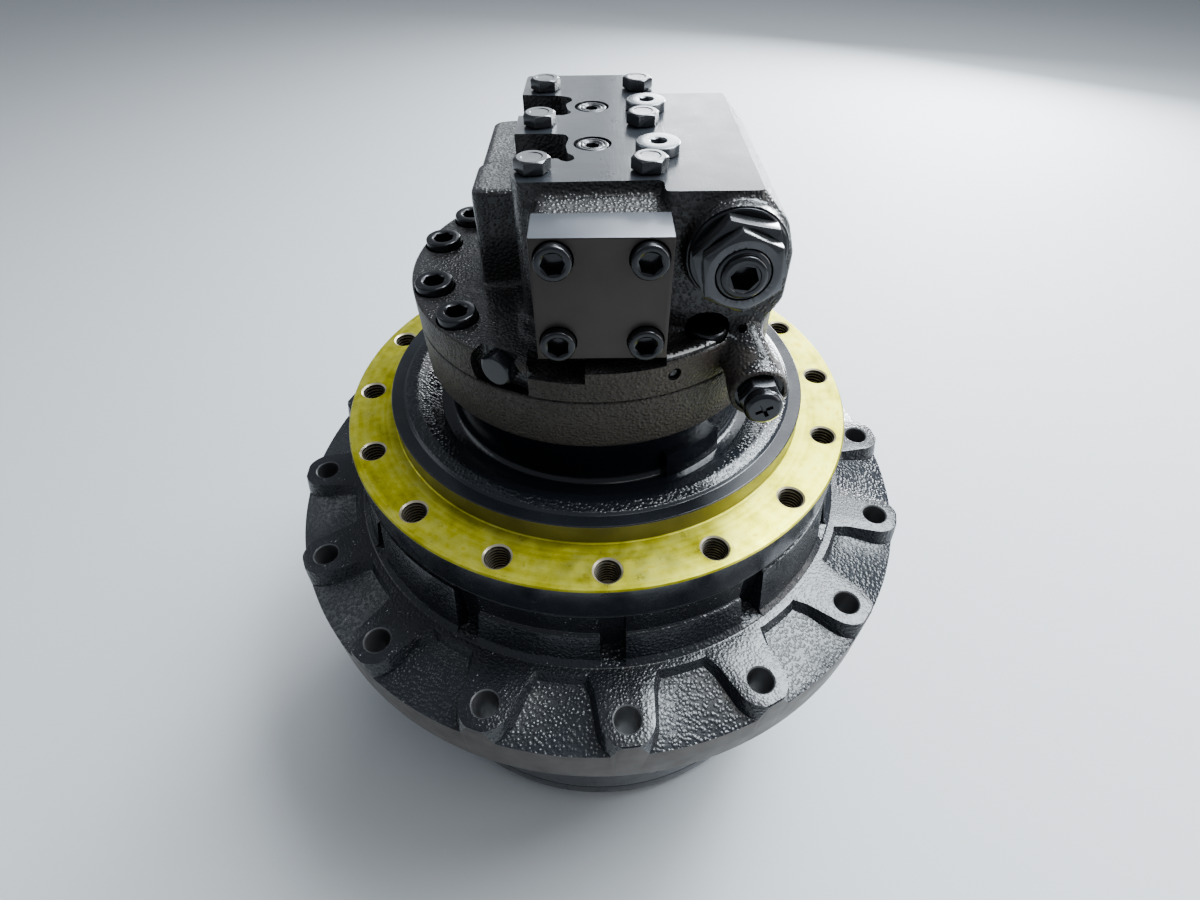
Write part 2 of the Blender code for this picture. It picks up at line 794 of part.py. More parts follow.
def make_hub():
    hub = add_object("hub", turned("hub", hub_profile(), large_steps), materials["casting"])
    first = -90 + sprocket_hole_turn_degrees
    half_pitch_degrees = 180 / sprocket_hole_count
    floor = -pad_depth - pocket_depth
    rows = []
    for middle in around(sprocket_hole_count, first + half_pitch_degrees):
        outline = pocket_outline(middle)
        rows.append(([(outline, floor), (outline, -pad_depth + cut_overrun)], (0, 0)))
    boolean(hub, add_tool("pocket_cutter", stacks("pocket_cutter", rows)), "DIFFERENCE")
    centres = [polar(sprocket_hole_circle_radius, angle) for angle in around(sprocket_hole_count, first)]
    low = -pad_depth - flange_thickness - cut_overrun
    drill = holes("sprocket_hole_drill", sprocket_hole_radius, low, -pad_depth + cut_overrun, centres)
    boolean(hub, add_tool("sprocket_hole_drill", drill), "DIFFERENCE")
    notch_rows = []
    recess_rows = []
    reach = hub_step_radius + cut_overrun
    inset = recess_end_share * hub_notch_width / 2 / hub_step_radius
    span = 2 * math.pi / hub_notch_count - 2 * inset
    for index, angle in enumerate(around(hub_notch_count, -90 + hub_notch_turn_degrees)):
        box = rectangle(hub_notch_floor_radius, reach, -hub_notch_width / 2, hub_notch_width / 2)
        turn = Matrix.Rotation(angle, 2)
        outline = [tuple(turn @ Vector(point)) for point in box]
        low = -pad_depth + hub_notch_floor_rise
        notch_rows.append(([(outline, low), (outline, -hub_rim_depth + hub_notch_rise)], (0, 0)))
        if index % hub_tall_segment_period != hub_tall_segment_first:
            turns = [angle + inset + span * step / recess_arc_steps for step in range(recess_arc_steps + 1)]
            wall = [polar(hub_barrel_radius - recess_depth, a) for a in turns]
            arc = wall + [polar(reach, a) for a in reversed(turns)]
            recess_rows.append(([(arc, -hub_step_depth), (arc, -hub_rim_depth + recess_rise)], (0, 0)))
    boolean(hub, add_tool("recess_cutter", stacks("recess_cutter", recess_rows)), "DIFFERENCE")
    boolean(hub, add_tool("notch_cutter", stacks("notch_cutter", notch_rows)), "DIFFERENCE")


def make_ring_gear():
    """The toothed ring of both stages, held between the hub and the end cover."""
    rim = circle(drum_radius, large_steps)
    ring = pierced("ring_gear", rim, ring_outline(), -drum_end_depth, -hub_end_depth - fit_gap)
    add_object("ring_gear", ring, materials["casting"])


def make_end_cover():
    joint = -cover_joint_depth
    flange_bottom = joint - cover_flange_thickness
    bottom = -face_height
    steps = large_steps
    sections = [
        (circle(cover_centre_boss_radius, steps), bottom + cover_centre_recess),
        (circle(cover_centre_boss_radius, steps), bottom),
        (circle(cover_dish_radius - drum_fillet, steps), bottom),
        (circle(cover_dish_radius, steps), flange_bottom),
        (circle(drum_radius, steps), flange_bottom),
        (circle(drum_radius, steps), joint),
        (circle(cover_spigot_radius, steps), joint),
        (circle(cover_spigot_radius, steps), joint + cover_spigot_height),
        (circle(thrust_pin_radius, steps), joint + cover_spigot_height),
        (circle(thrust_pin_radius, steps), first_gear_top - first_gear_width - thrust_pin_gap),
    ]
    cover = add_object("end_cover", stacked("end_cover", sections), materials["casting"])
    head = hexagon(end_screw_head_flats)
    low = flange_bottom - end_screw_head_height
    rows = []
    for angle in around(end_screw_count):
        rows.append(([(head, low), (head, flange_bottom + join_depth)], polar(end_screw_circle_radius, angle)))
    boolean(cover, add_tool("end_screw_heads", stacks("end_screw_heads", rows)), "UNION")


def make_second_stage():
    plate_bottom = second_plate_top - second_plate_thickness
    bore = carrier_spigot_radius + fit_gap
    upper = ring_mesh("second_carrier", bore, second_plate_radius, plate_bottom, second_plate_top, large_steps)
    carrier = add_object("second_carrier", upper, materials["machined"])
    lower = ring_mesh(
        "second_carrier_lower_plate",
        second_plate_bore_radius,
        second_plate_radius,
        second_carrier_bottom,
        second_lower_plate_top,
        medium_steps,
    )
    low = second_carrier_bottom + join_depth
    high = plate_bottom + join_depth
    planet_angles = around(planet_count)
    post_angles = around(planet_count, 180 / planet_count)
    pins = holes(
        "second_pins",
        pin_radius,
        low,
        high,
        [polar(second_circle_radius, a) for a in planet_angles],
        small_steps,
    )
    post_centres = [polar(second_post_circle_radius, angle) for angle in post_angles]
    posts = holes("second_posts", second_post_radius, low, high, post_centres)
    boolean(carrier, add_tool("second_pins", pins), "UNION")
    boolean(carrier, add_tool("second_posts", posts), "UNION")
    boolean(carrier, add_tool("second_carrier_lower_plate", lower), "UNION")
    outline = gear_outline(second_planet_teeth)
    bore = circle(pin_radius + pin_clearance, small_steps)
    planet = pierced("second_planet", outline, bore, -second_gear_width, 0)
    for index, angle in enumerate(planet_angles, 1):
        turn = Matrix.Rotation(planet_turn(angle, second_planet_teeth), 4, "Z")
        place = (*polar(second_circle_radius, angle), second_gear_top)
        add_object(f"second_planet_{index}", planet, materials["gear"], place, turn)
    bottom = first_plate_top - first_plate_thickness
    outline = gear_outline(second_sun_teeth)
    sun = pierced(
        "second_sun", outline, circle(second_sun_bore_radius, small_steps), second_gear_top - second_gear_width,
        second_gear_top,
    )
    turn = sun_turn(0, second_planet_teeth, second_sun_teeth)
    sun_piece = add_object("second_sun", sun, materials["gear"], rotation=Matrix.Rotation(turn, 4, "Z"))
    sleeve = pierced(
        "second_sun_sleeve",
        circle(second_sleeve_radius, small_steps),
        circle(second_sun_bore_radius, small_steps),
        bottom,
        second_gear_top - second_gear_width + join_depth,
    )
    boolean(sun_piece, add_tool("second_sun_sleeve", sleeve), "UNION")


def make_first_stage():
    plate_bottom = first_plate_top - first_plate_thickness
    bore = second_sleeve_radius + fit_gap
    upper = ring_mesh("first_carrier", bore, first_plate_radius, plate_bottom, first_plate_top, medium_steps)
    carrier = add_object("first_carrier", upper, materials["machined"])
    lower_bottom = first_carrier_bottom
    lower = ring_mesh(
        "first_carrier_lower_plate",
        first_lower_bore_radius,
        first_plate_radius,
        lower_bottom,
        first_lower_plate_top,
        medium_steps,
    )
    planet_angles = around(planet_count)
    low = lower_bottom + join_depth
    high = plate_bottom + join_depth
    pins = holes(
        "first_pins",
        pin_radius,
        low,
        high,
        [polar(first_circle_radius, a) for a in planet_angles],
        small_steps,
    )
    boolean(carrier, add_tool("first_pins", pins), "UNION")
    boolean(carrier, add_tool("first_carrier_lower_plate", lower), "UNION")
    outline = gear_outline(first_planet_teeth)
    bore = circle(pin_radius + pin_clearance, small_steps)
    planet = pierced("first_planet", outline, bore, -first_gear_width, 0)
    for index, angle in enumerate(planet_angles, 1):
        turn = Matrix.Rotation(planet_turn(angle, first_planet_teeth), 4, "Z")
        place = (*polar(first_circle_radius, angle), first_gear_top)
        add_object(f"first_planet_{index}", planet, materials["gear"], place, turn)


def make_input_shaft():
    outline = gear_outline(first_sun_teeth)
    sun_bottom = first_gear_top - first_gear_width
    turn = sun_turn(0, first_planet_teeth, first_sun_teeth)
    shaft = add_object(
        "input_shaft",
        stacked("input_shaft", [(outline, sun_bottom), (outline, first_gear_top)]),
        materials["gear"],
        rotation=Matrix.Rotation(turn, 4, "Z"),
    )
    rod = circle(shaft_radius, small_steps)
    stem = stacked("input_shaft_stem", [(rod, first_gear_top - join_depth), (rod, shaft_top_height)])
    boolean(shaft, add_tool("input_shaft_stem", stem), "UNION")


def make_motor():
    bore = shaft_radius + fit_gap
    floor = -motor_floor_depth + fit_gap
    swash = ring_mesh("swash_plate", shaft_bore_radius, swash_plate_radius, floor, swash_plate_top, medium_steps)
    add_object("swash_plate", swash, materials["gear"])
    shoe_top = shoe_plate_bottom + shoe_plate_thickness
    shoe_plate = ring_mesh(
        "piston_set",
        piston_circle_radius - shoe_plate_half_width,
        piston_circle_radius + shoe_plate_half_width,
        shoe_plate_bottom,
        shoe_top,
        small_steps,
    )
    pistons = add_object("piston_set", shoe_plate, materials["bronze"])
    centres = [polar(piston_circle_radius, angle) for angle in around(piston_count)]
    rods = holes("pistons", piston_radius, shoe_top - join_depth, shoe_top + piston_length, centres, 8)
    boolean(pistons, add_tool("pistons", rods), "UNION")
    block_mesh = ring_mesh("cylinder_block", bore, block_radius, -block_end_depth, block_top, medium_steps)
    block = add_object("cylinder_block", block_mesh, materials["gear"])
    bore_radius = piston_radius + piston_gap
    low = -block_end_depth - cut_overrun
    high = -block_end_depth + piston_bore_depth
    boolean(block, add_tool("piston_bores", holes("piston_bores", bore_radius, low, high, centres, 8)), "DIFFERENCE")
    plate_low = block_top + fit_gap
    plate_bore = shaft_radius + turning_gap
    plate = ring_mesh(
        "valve_plate", plate_bore, valve_plate_radius, plate_low, plate_low + valve_plate_thickness, small_steps
    )
    add_object("valve_plate", plate, materials["bronze"])


def make_brake():
    disc_bottom = -brake_disc_depth
    disc_top = disc_bottom + brake_disc_thickness
    disc = ring_mesh(
        "brake_friction_disc", block_radius + fit_gap, brake_disc_radius, disc_bottom, disc_top, medium_steps
    )
    add_object("brake_friction_disc", disc, materials["friction"])
    wall = motor_bore_radius - fit_gap
    plate_low = disc_top + fit_gap
    plate_high = plate_low + separator_thickness
    plate = ring_mesh("brake_separator_plate", separator_inner_radius, wall, plate_low, plate_high, medium_steps)
    add_object("brake_separator_plate", plate, materials["gear"])
    piston_low = plate_high + fit_gap
    piston = ring_mesh(
        "brake_piston", brake_piston_inner_radius, wall, piston_low, piston_low + brake_piston_height, medium_steps
    )
    add_object("brake_piston", piston, materials["gear"])


def make_shaft_bearings():
    bore = shaft_radius + turning_gap
    low = -motor_floor_depth - shaft_bearing_width - fit_gap
    lower = ring_mesh(
        "shaft_bearing", bore, shaft_bore_radius - fit_gap, low, -motor_floor_depth - fit_gap, small_steps
    )
    add_object("shaft_bearing", lower, materials["gear"])
    low = cover_seat_height + fit_gap
    upper = ring_mesh(
        "motor_bearing", bore, motor_bearing_radius - fit_gap, low, low + motor_bearing_width, small_steps
    )
    add_object("motor_bearing", upper, materials["gear"])


def right_block_outline():
    """The right block's section, seen from the front as (x, height)."""
    side = right_block_right
    shoulder = strip_top - right_block_shoulder_drop
    return [
        (right_block_left, cover_flange_top - join_depth),
        (side, cover_flange_top - join_depth),
        (side, shoulder - right_block_shoulder_drop),
        (side - right_block_shoulder_width, shoulder),
        (right_block_top_right + right_block_shoulder_width, strip_top - right_block_shoulder_width),
        (right_block_top_right, strip_top),
        (right_block_left, strip_top),
    ]


def make_cover_casting():
    disc = circle(case_flange_radius, large_steps)
    disc_mesh = stacked("motor_cover", [(disc, cover_joint_height), (disc, cover_flange_top)])
    cover = add_object("motor_cover", disc_mesh, materials["casting"])
    seat = circle(cover_seat_radius, small_steps)
    plug = circle(motor_bore_radius - fit_gap, small_steps)
    plug_low = cover_joint_height - cover_plug_height
    plug_mesh = stacked(
        "cover_plug",
        [(seat, cover_seat_height), (seat, plug_low), (plug, plug_low), (plug, cover_joint_height + join_depth)],
    )
    boolean(cover, add_tool("cover_plug", plug_mesh), "UNION")
    left = rectangle(left_body_left, 0, left_body_front, left_body_back, left_body_chamfer)
    left_top = rectangle(
        left_body_left + left_body_chamfer,
        0,
        left_body_front + left_body_chamfer,
        left_body_back - left_body_chamfer,
        left_body_chamfer,
    )
    low = cover_flange_top - join_depth
    left_mesh = stacked("left_body", [(left, low), (left, left_body_shoulder), (left_top, left_body_top)])
    boolean(cover, add_tool("left_body", left_mesh), "UNION")
    strip = rectangle(strip_left, strip_right, strip_front, strip_back, strip_corner)
    boolean(cover, add_tool("port_strip", stacked("port_strip", [(strip, strip_bottom), (strip, strip_top)])), "UNION")
    section = right_block_outline()
    right_mesh = stacked("right_block", [(section, -right_block_back), (section, -right_block_front)])
    boolean(cover, add_tool("right_block", right_mesh, rotation=facing_front()), "UNION")
    neck_low = rectangle(neck_left, neck_right, neck_front, neck_back)
    neck_high = rectangle(neck_left, neck_right, neck_front + neck_slope_run, neck_back)
    neck_mesh = stacked(
        "plate_neck", [(neck_low, strip_bottom), (neck_low, neck_top), (neck_high, strip_top - join_depth)]
    )
    boolean(cover, add_tool("plate_neck", neck_mesh), "UNION")
    boss = circle(spool_boss_radius, small_steps)
    boss_end = -right_block_front + spool_boss_length
    boss_mesh = stacked("spool_boss", [(boss, -right_block_front - join_depth), (boss, boss_end)])
    boss_place = (spool_x, 0, spool_height)
    boolean(cover, add_tool("spool_boss", boss_mesh, boss_place, facing_front()), "UNION")
    return cover


def add_relief_boss(cover):
    """The boss hangs past the case flange's rim, so its part below the joint starts further out."""
    half = relief_boss_radius
    upper = rectangle(relief_x - half, relief_x + half, relief_boss_end, relief_boss_start, half / 3)
    lower = rectangle(relief_x - half, relief_x + half, relief_boss_end, relief_boss_low_start, half / 3)
    top = relief_height + half
    upper_mesh = stacked("relief_arm", [(upper, cover_joint_height), (upper, top), (upper, cover_flange_top)])
    lower_low = relief_height - half
    lower_mesh = stacked("relief_boss", [(lower, lower_low), (lower, cover_joint_height + join_depth)])
    boolean(cover, add_tool("relief_arm", upper_mesh), "UNION")
    boolean(cover, add_tool("relief_boss", lower_mesh), "UNION")


def cut_cover(cover):
    head = cover_screw_head_radius + spot_face_clearance
    shank = cover_screw_radius + screw_hole_clearance
    low = cover_joint_height - cut_overrun
    seat = cover_screw_seat_height
    sections = [
        (circle(shank, screw_steps), low),
        (circle(shank, screw_steps), seat),
        (circle(head, screw_steps), seat),
        (circle(head, screw_steps), seat + cover_screw_head_height + cut_overrun),
    ]
    rows = [(sections, place) for place in cover_screw_places()]
    boolean(cover, add_tool("cover_screw_drill", stacks("cover_screw_drill", rows)), "DIFFERENCE")
    rows = []
    bolt = circle(port_bolt_radius + screw_hole_clearance, screw_steps)
    bolt_low = strip_top - port_bolt_length - hole_end_room
    for place in port_bolt_places():
        rows.append(([(bolt, bolt_low), (bolt, strip_top + cut_overrun)], place))
    cap = circle(port_cap_stem_radius + screw_hole_clearance, screw_steps)
    cap_low = strip_top - port_cap_stem_length - hole_end_room
    for place in port_cap_places:
        rows.append(([(cap, cap_low), (cap, strip_top + cut_overrun)], place))
    gauge = circle(gauge_plug_radius + gauge_plug_ring_gap, screw_steps)
    gauge_low = strip_top - gauge_plug_sink - gauge_plug_height - fit_gap
    for place in gauge_plug_places:
        rows.append(([(gauge, gauge_low), (gauge, strip_top + cut_overrun)], place))
    boolean(cover, add_tool("strip_drill", stacks("strip_drill", rows)), "DIFFERENCE")
    rows = []
    for middle in tab_pocket_places:
        back = middle + tab_pocket_width / 2
        front = middle - tab_pocket_width / 2
        outline = rectangle(
            strip_left - tab_pocket_corner - cut_overrun,
            strip_left + tab_pocket_reach,
            front,
            back,
            tab_pocket_corner,
        )
        rows.append(([(outline, strip_top - tab_pocket_depth), (outline, strip_top + cut_overrun)], (0, 0)))
    notch = rectangle(
        front_notch_left, front_notch_right, -case_flange_radius - cut_overrun, front_notch_back
    )
    rows.append(([(notch, front_notch_height), (notch, cover_flange_top + cut_overrun)], (0, 0)))
    boolean(cover, add_tool("cover_pockets", stacks("cover_pockets", rows)), "DIFFERENCE")
    shaft_hole = circle(shaft_radius + turning_gap, screw_steps)
    bearing_hole = circle(motor_bearing_radius, small_steps)
    bearing_high = cover_seat_height + motor_bearing_width + 2 * fit_gap
    rows = [
        ([(bearing_hole, cover_seat_height - cut_overrun), (bearing_hole, bearing_high)], (0, 0)),
        ([(shaft_hole, bearing_high - cut_overrun), (shaft_hole, shaft_top_height + running_gap)], (0, 0)),
    ]
    for number, row in enumerate(rows, 1):
        tool = add_tool(f"shaft_drill_{number}", stacks(f"shaft_drill_{number}", [row]))
        boolean(cover, tool, "DIFFERENCE")


def cut_cover_sides(cover):
    """Holes that run in from the front, and the drain plug's flat and hole in the rim."""
    rows = []
    shank = circle(plate_screw_radius + screw_hole_clearance, screw_steps)
    head_bottom = -plate_front + plate_screw_proud - plate_screw_head_height
    low = head_bottom - plate_screw_length - hole_end_room
    for x, height in plate_screw_places():
        rows.append(([(shank, low), (shank, -neck_front + cut_overrun)], (x, height)))
    spool = circle(spool_stem_radius + screw_hole_clearance, screw_steps)
    spool_face = -right_block_front + spool_boss_length
    low = spool_face - spool_stem_length - hole_end_room
    rows.append(([(spool, low), (spool, spool_face + cut_overrun)], (spool_x, spool_height)))
    relief = circle(relief_stem_radius + screw_hole_clearance, screw_steps)
    low = -relief_boss_end - relief_stem_length - hole_end_room
    rows.append(([(relief, low), (relief, -relief_boss_end + cut_overrun)], (relief_x, relief_height)))
    boolean(cover, add_tool("front_drill", stacks("front_drill", rows), rotation=facing_front()), "DIFFERENCE")
    turn = facing_front(drain_degrees + 90)
    half = drain_seat_half_width
    flat = rectangle(-half, half, drain_seat_bottom, cover_flange_top + cut_overrun)
    flat_mesh = stacked(
        "drain_flat", [(flat, drain_seat_radius), (flat, case_flange_radius + cut_overrun)]
    )
    boolean(cover, add_tool("drain_flat", flat_mesh, rotation=turn), "DIFFERENCE")
    bore = circle(drain_stem_radius + screw_hole_clearance, screw_steps)
    low = drain_seat_radius - drain_stem_length - hole_end_room
    rows = [([(bore, low), (bore, drain_seat_radius + cut_overrun)], (0, drain_height))]
    boolean(cover, add_tool("drain_drill", stacks("drain_drill", rows), rotation=turn), "DIFFERENCE")


def port_bolt_places():
    return [(x, y) for x in (port_bolt_left, port_bolt_right) for y in port_bolt_rows]


def plate_screw_places():
    return [
        (plate_centre_x + side * plate_screw_half_spacing_x, plate_centre_height + level * plate_screw_half_spacing_z)
        for level in (1, -1)
        for side in (-1, 1)
    ]


def make_cover_screws():
    head = circle(cover_screw_head_radius, screw_steps)
    sections = screw_sections(
        head, cover_screw_head_height, cover_screw_radius, cover_screw_length, cover_screw_socket
    )
    mesh = stacked("cover_screw", sections)
    seat = cover_screw_seat_height + fit_gap
    for index, place in enumerate(cover_screw_places(), 1):
        add_object(f"cover_screw_{index}", mesh, materials["screw"], (*place, seat))


def make_front_plate():
    left = plate_centre_x - plate_half_width
    right = plate_centre_x + plate_half_width
    outline = rectangle(left, right, plate_centre_height - plate_half_height, plate_centre_height + plate_half_height)
    back = -plate_front - plate_thickness
    plate_mesh = stacked("front_plate", [(outline, back), (outline, -plate_front)])
    plate = add_object("front_plate", plate_mesh, materials["machined"], rotation=facing_front())
    seat = -plate_front + plate_screw_proud - plate_screw_head_height
    shank = circle(plate_screw_radius + screw_hole_clearance, screw_steps)
    head = circle(plate_screw_head_radius + spot_face_clearance, screw_steps)
    sections = [
        (shank, back - cut_overrun),
        (shank, seat),
        (head, seat),
        (head, -plate_front + cut_overrun),
    ]
    rows = [(sections, place) for place in plate_screw_places()]
    boolean(plate, add_tool("plate_drill", stacks("plate_drill", rows), rotation=facing_front()), "DIFFERENCE")
    screw = stacked(
        "front_plate_screw",
        screw_sections(
            circle(plate_screw_head_radius, screw_steps),
            plate_screw_head_height,
            plate_screw_radius,
            plate_screw_length,
            plate_screw_socket,
        ),
    )
    for index, (x, height) in enumerate(plate_screw_places(), 1):
        place = (x, -seat - fit_gap, height)
        add_object(f"front_plate_screw_{index}", screw, materials["screw"], place, facing_front())


def make_strip_fittings():
    bolt = stacked(
        "port_bolt", bolt_sections(port_bolt_flats, port_bolt_head_height, port_bolt_radius, port_bolt_length)
    )
    for index, place in enumerate(port_bolt_places(), 1):
        add_object(f"port_bolt_{index}", bolt, materials["screw"], (*place, strip_top + fit_gap))
    cap = stacked(
        "port_cap",
        screw_sections(
            circle(port_cap_radius, screw_steps),
            port_cap_height,
            port_cap_stem_radius,
            port_cap_stem_length,
            port_cap_hole_flats,
        ),
    )
    plug = stacked(
        "gauge_plug",
        [
            (circle(gauge_plug_radius, screw_steps), 0),
            (circle(gauge_plug_radius, screw_steps), gauge_plug_height),
            (hexagon(gauge_plug_socket), gauge_plug_height),
            (hexagon(gauge_plug_socket), gauge_plug_height * (1 - socket_depth_share)),
        ],
    )
    plug_low = strip_top - gauge_plug_sink - gauge_plug_height
    for name, cap_place, plug_place in zip(("front", "rear"), port_cap_places, gauge_plug_places):
        add_object(f"port_cap_{name}", cap, materials["machined"], (*cap_place, strip_top + fit_gap))
        add_object(f"gauge_plug_{name}", plug, materials["machined"], (*plug_place, plug_low))


def make_spool_plug():
    face = right_block_front - spool_boss_length - fit_gap
    hex_top = spool_flange_thickness + spool_hex_height
    nut_low = hex_top + fit_gap
    nut_high = nut_low + lock_nut_height
    rod = circle(adjuster_radius, screw_steps)
    top = nut_high + adjuster_proud
    cap = stacked(
        "spool_plug",
        [
            (circle(spool_stem_radius, screw_steps), -spool_stem_length),
            (circle(spool_stem_radius, screw_steps), 0),
            (circle(spool_flange_radius, screw_steps), 0),
            (circle(spool_flange_radius, screw_steps), spool_flange_thickness),
            (hexagon(spool_hex_flats), spool_flange_thickness),
            (hexagon(spool_hex_flats), hex_top),
            (rod, hex_top),
            (rod, top),
            (hexagon(adjuster_socket), top),
            (hexagon(adjuster_socket), nut_low),
        ],
    )
    add_object("spool_plug", cap, materials["screw"], (spool_x, face, spool_height), facing_front())
    bore = circle(adjuster_radius + fit_gap, screw_steps)
    nut = pierced("spool_lock_nut", hexagon(lock_nut_flats), bore, nut_low, nut_high)
    add_object("spool_lock_nut", nut, materials["screw"], (spool_x, face, spool_height), facing_front())


def make_relief_valve():
    stem = circle(relief_stem_radius, screw_steps)
    cap = circle(relief_cap_radius, screw_steps)
    hex_top = relief_hex_height
    valve = stacked(
        "relief_valve",
        [
            (stem, -relief_stem_length),
            (stem, 0),
            (hexagon(relief_hex_flats), 0),
            (hexagon(relief_hex_flats), hex_top),
            (cap, hex_top),
            (cap, hex_top + relief_cap_height),
        ],
    )
    place = (relief_x, relief_boss_end - fit_gap, relief_height)
    add_object("relief_valve", valve, materials["screw"], place, facing_front())


def make_drain_plug():
    plug = stacked(
        "drain_plug", bolt_sections(drain_flats, drain_head_height, drain_stem_radius, drain_stem_length)
    )
    place = (*polar(drain_seat_radius + fit_gap, math.radians(drain_degrees)), drain_height)
    add_object("drain_plug", plug, materials["screw"], place, facing_front(drain_degrees + 90))


def make_valve_cover():
    cover = make_cover_casting()
    add_relief_boss(cover)
    cut_cover(cover)
    cut_cover_sides(cover)


clear_scene()
materials = make_materials()
face_frame = bpy.data.objects.new("frame_face", None)
face_frame.location = (0, 0, face_height)
bpy.context.scene.collection.objects.link(face_frame)

make_spindle()
make_seal_rings()
make_bearings()
make_hub()
make_ring_gear()
make_end_cover()
make_second_stage()
make_first_stage()
make_input_shaft()
make_motor()
make_brake()
make_shaft_bearings()
make_valve_cover()
make_cover_screws()
make_front_plate()
make_strip_fittings()
make_spool_plug()
make_relief_valve()
make_drain_plug()
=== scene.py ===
"""Looks of the excavator final drive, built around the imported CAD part.

Sizes are in millimetres in the frame of the yellow mounting face, and become metres above the floor in place().
"""

import math

import bmesh
import bpy
from mathutils import Matrix, Vector, noise


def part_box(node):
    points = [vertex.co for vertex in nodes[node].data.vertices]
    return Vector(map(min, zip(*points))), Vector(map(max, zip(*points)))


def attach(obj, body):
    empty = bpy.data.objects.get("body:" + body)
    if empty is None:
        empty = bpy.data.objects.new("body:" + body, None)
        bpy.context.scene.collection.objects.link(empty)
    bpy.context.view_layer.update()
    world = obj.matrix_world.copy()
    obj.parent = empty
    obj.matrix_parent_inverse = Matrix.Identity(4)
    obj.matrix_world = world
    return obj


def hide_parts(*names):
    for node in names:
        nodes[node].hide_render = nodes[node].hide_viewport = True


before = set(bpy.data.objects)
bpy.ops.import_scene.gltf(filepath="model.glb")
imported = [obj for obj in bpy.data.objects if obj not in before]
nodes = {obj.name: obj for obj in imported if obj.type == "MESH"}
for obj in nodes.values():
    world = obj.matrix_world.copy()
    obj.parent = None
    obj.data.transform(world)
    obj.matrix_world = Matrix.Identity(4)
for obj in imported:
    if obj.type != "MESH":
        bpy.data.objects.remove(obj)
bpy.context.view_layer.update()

FACE = 0.388  # height of the yellow mounting face above the floor, in metres
SIDES = 192  # steps of a large turned piece
FRONT = Matrix.Rotation(math.pi / 2, 4, "X")  # turns a piece's +Z to the front, -Y

# Circles of holes and screws: radii in millimetres, first holes in degrees, the step between holes in radians
HOLE_COUNT = 16
HOLE_STEP = 2 * math.pi / HOLE_COUNT
FRAME_HOLE_CIRCLE = 198.5
FRAME_HOLE_START = -88.0
SPROCKET_HOLE_CIRCLE = 264.7
SPROCKET_HOLE_START = -90 + 4.35
END_SCREW_CIRCLE = 213.5
COVER_SCREW_CIRCLE = 120.5

# Heights above the mounting face, in millimetres
COVER_SCREW_SEAT = 110.6
STRIP_TOP = 216

# Camera: focal length and picture width in pixels, spot in millimetres from the mounting face
FOCAL_PIXELS = 629.904
PICTURE_WIDTH = 1200
CAMERA_SPOT = (2.58, -437.69, 364.23)
CAMERA_FORWARD = (0, 0.6967, -0.7174)
CAMERA_UP = (0.011, 0.7173, 0.6967)


def place(x, y, z):
    return Vector((x / 1000, y / 1000, z / 1000 + FACE))


def polar(radius, turn, z):
    return place(radius * math.cos(turn), radius * math.sin(turn), z)


# Materials


def tree_of(name):
    material = bpy.data.materials.new(name)
    material.use_nodes = True
    tree = material.node_tree
    return material, tree, tree.nodes["Principled BSDF"]


def add(tree, kind, **values):
    node = tree.nodes.new(kind)
    for key, value in values.items():
        if key in node.inputs:
            node.inputs[key].default_value = value
        else:
            setattr(node, key, value)
    return node


def ramp(tree, source, stops):
    node = tree.nodes.new("ShaderNodeValToRGB")
    ramp_stops = node.color_ramp.elements
    while len(ramp_stops) < len(stops):
        ramp_stops.new(0.5)
    for stop, (position, colour) in zip(ramp_stops, stops):
        stop.position = position
        stop.color = (*colour, 1) if isinstance(colour, tuple) else (colour, colour, colour, 1)
    tree.links.new(source, node.inputs["Fac"])
    return node.outputs["Color"]


def noise_of(tree, scale, detail=2.0, vector=None, roughness=0.5):
    node = add(tree, "ShaderNodeTexNoise", Scale=scale, Detail=detail, Roughness=roughness)
    if vector is None:
        vector = coordinates(tree)
    tree.links.new(vector, node.inputs["Vector"])
    return node.outputs["Fac"]


def coordinates(tree):
    for node in tree.nodes:
        if node.bl_idname == "ShaderNodeTexCoord":
            return node.outputs["Object"]
    return tree.nodes.new("ShaderNodeTexCoord").outputs["Object"]


def turned_vector(tree):
    """Radius and height only, so that noise along it makes turning marks."""
    split = tree.nodes.new("ShaderNodeSeparateXYZ")
    tree.links.new(coordinates(tree), split.inputs[0])
    flat = tree.nodes.new("ShaderNodeCombineXYZ")
    tree.links.new(split.outputs[0], flat.inputs[0])
    tree.links.new(split.outputs[1], flat.inputs[1])
    length = add(tree, "ShaderNodeVectorMath", operation="LENGTH")
    tree.links.new(flat.outputs[0], length.inputs[0])
    out = tree.nodes.new("ShaderNodeCombineXYZ")
    tree.links.new(length.outputs["Value"], out.inputs[0])
    tree.links.new(split.outputs[2], out.inputs[1])
    return out.outputs[0]


def stretched_vector(tree, factors):
    node = add(tree, "ShaderNodeVectorMath", operation="MULTIPLY")
    tree.links.new(coordinates(tree), node.inputs[0])
    node.inputs[1].default_value = factors
    return node.outputs[0]


def bump(tree, shader, height, distance, strength=1.0):
    """Adds a bump in front of whatever already bends the normal."""
    node = add(tree, "ShaderNodeBump", Strength=strength, Distance=distance)
    tree.links.new(height, node.inputs["Height"])
    before = shader.inputs["Normal"].links
    if before:
        tree.links.new(before[0].from_socket, node.inputs["Normal"])
    tree.links.new(node.outputs["Normal"], shader.inputs["Normal"])


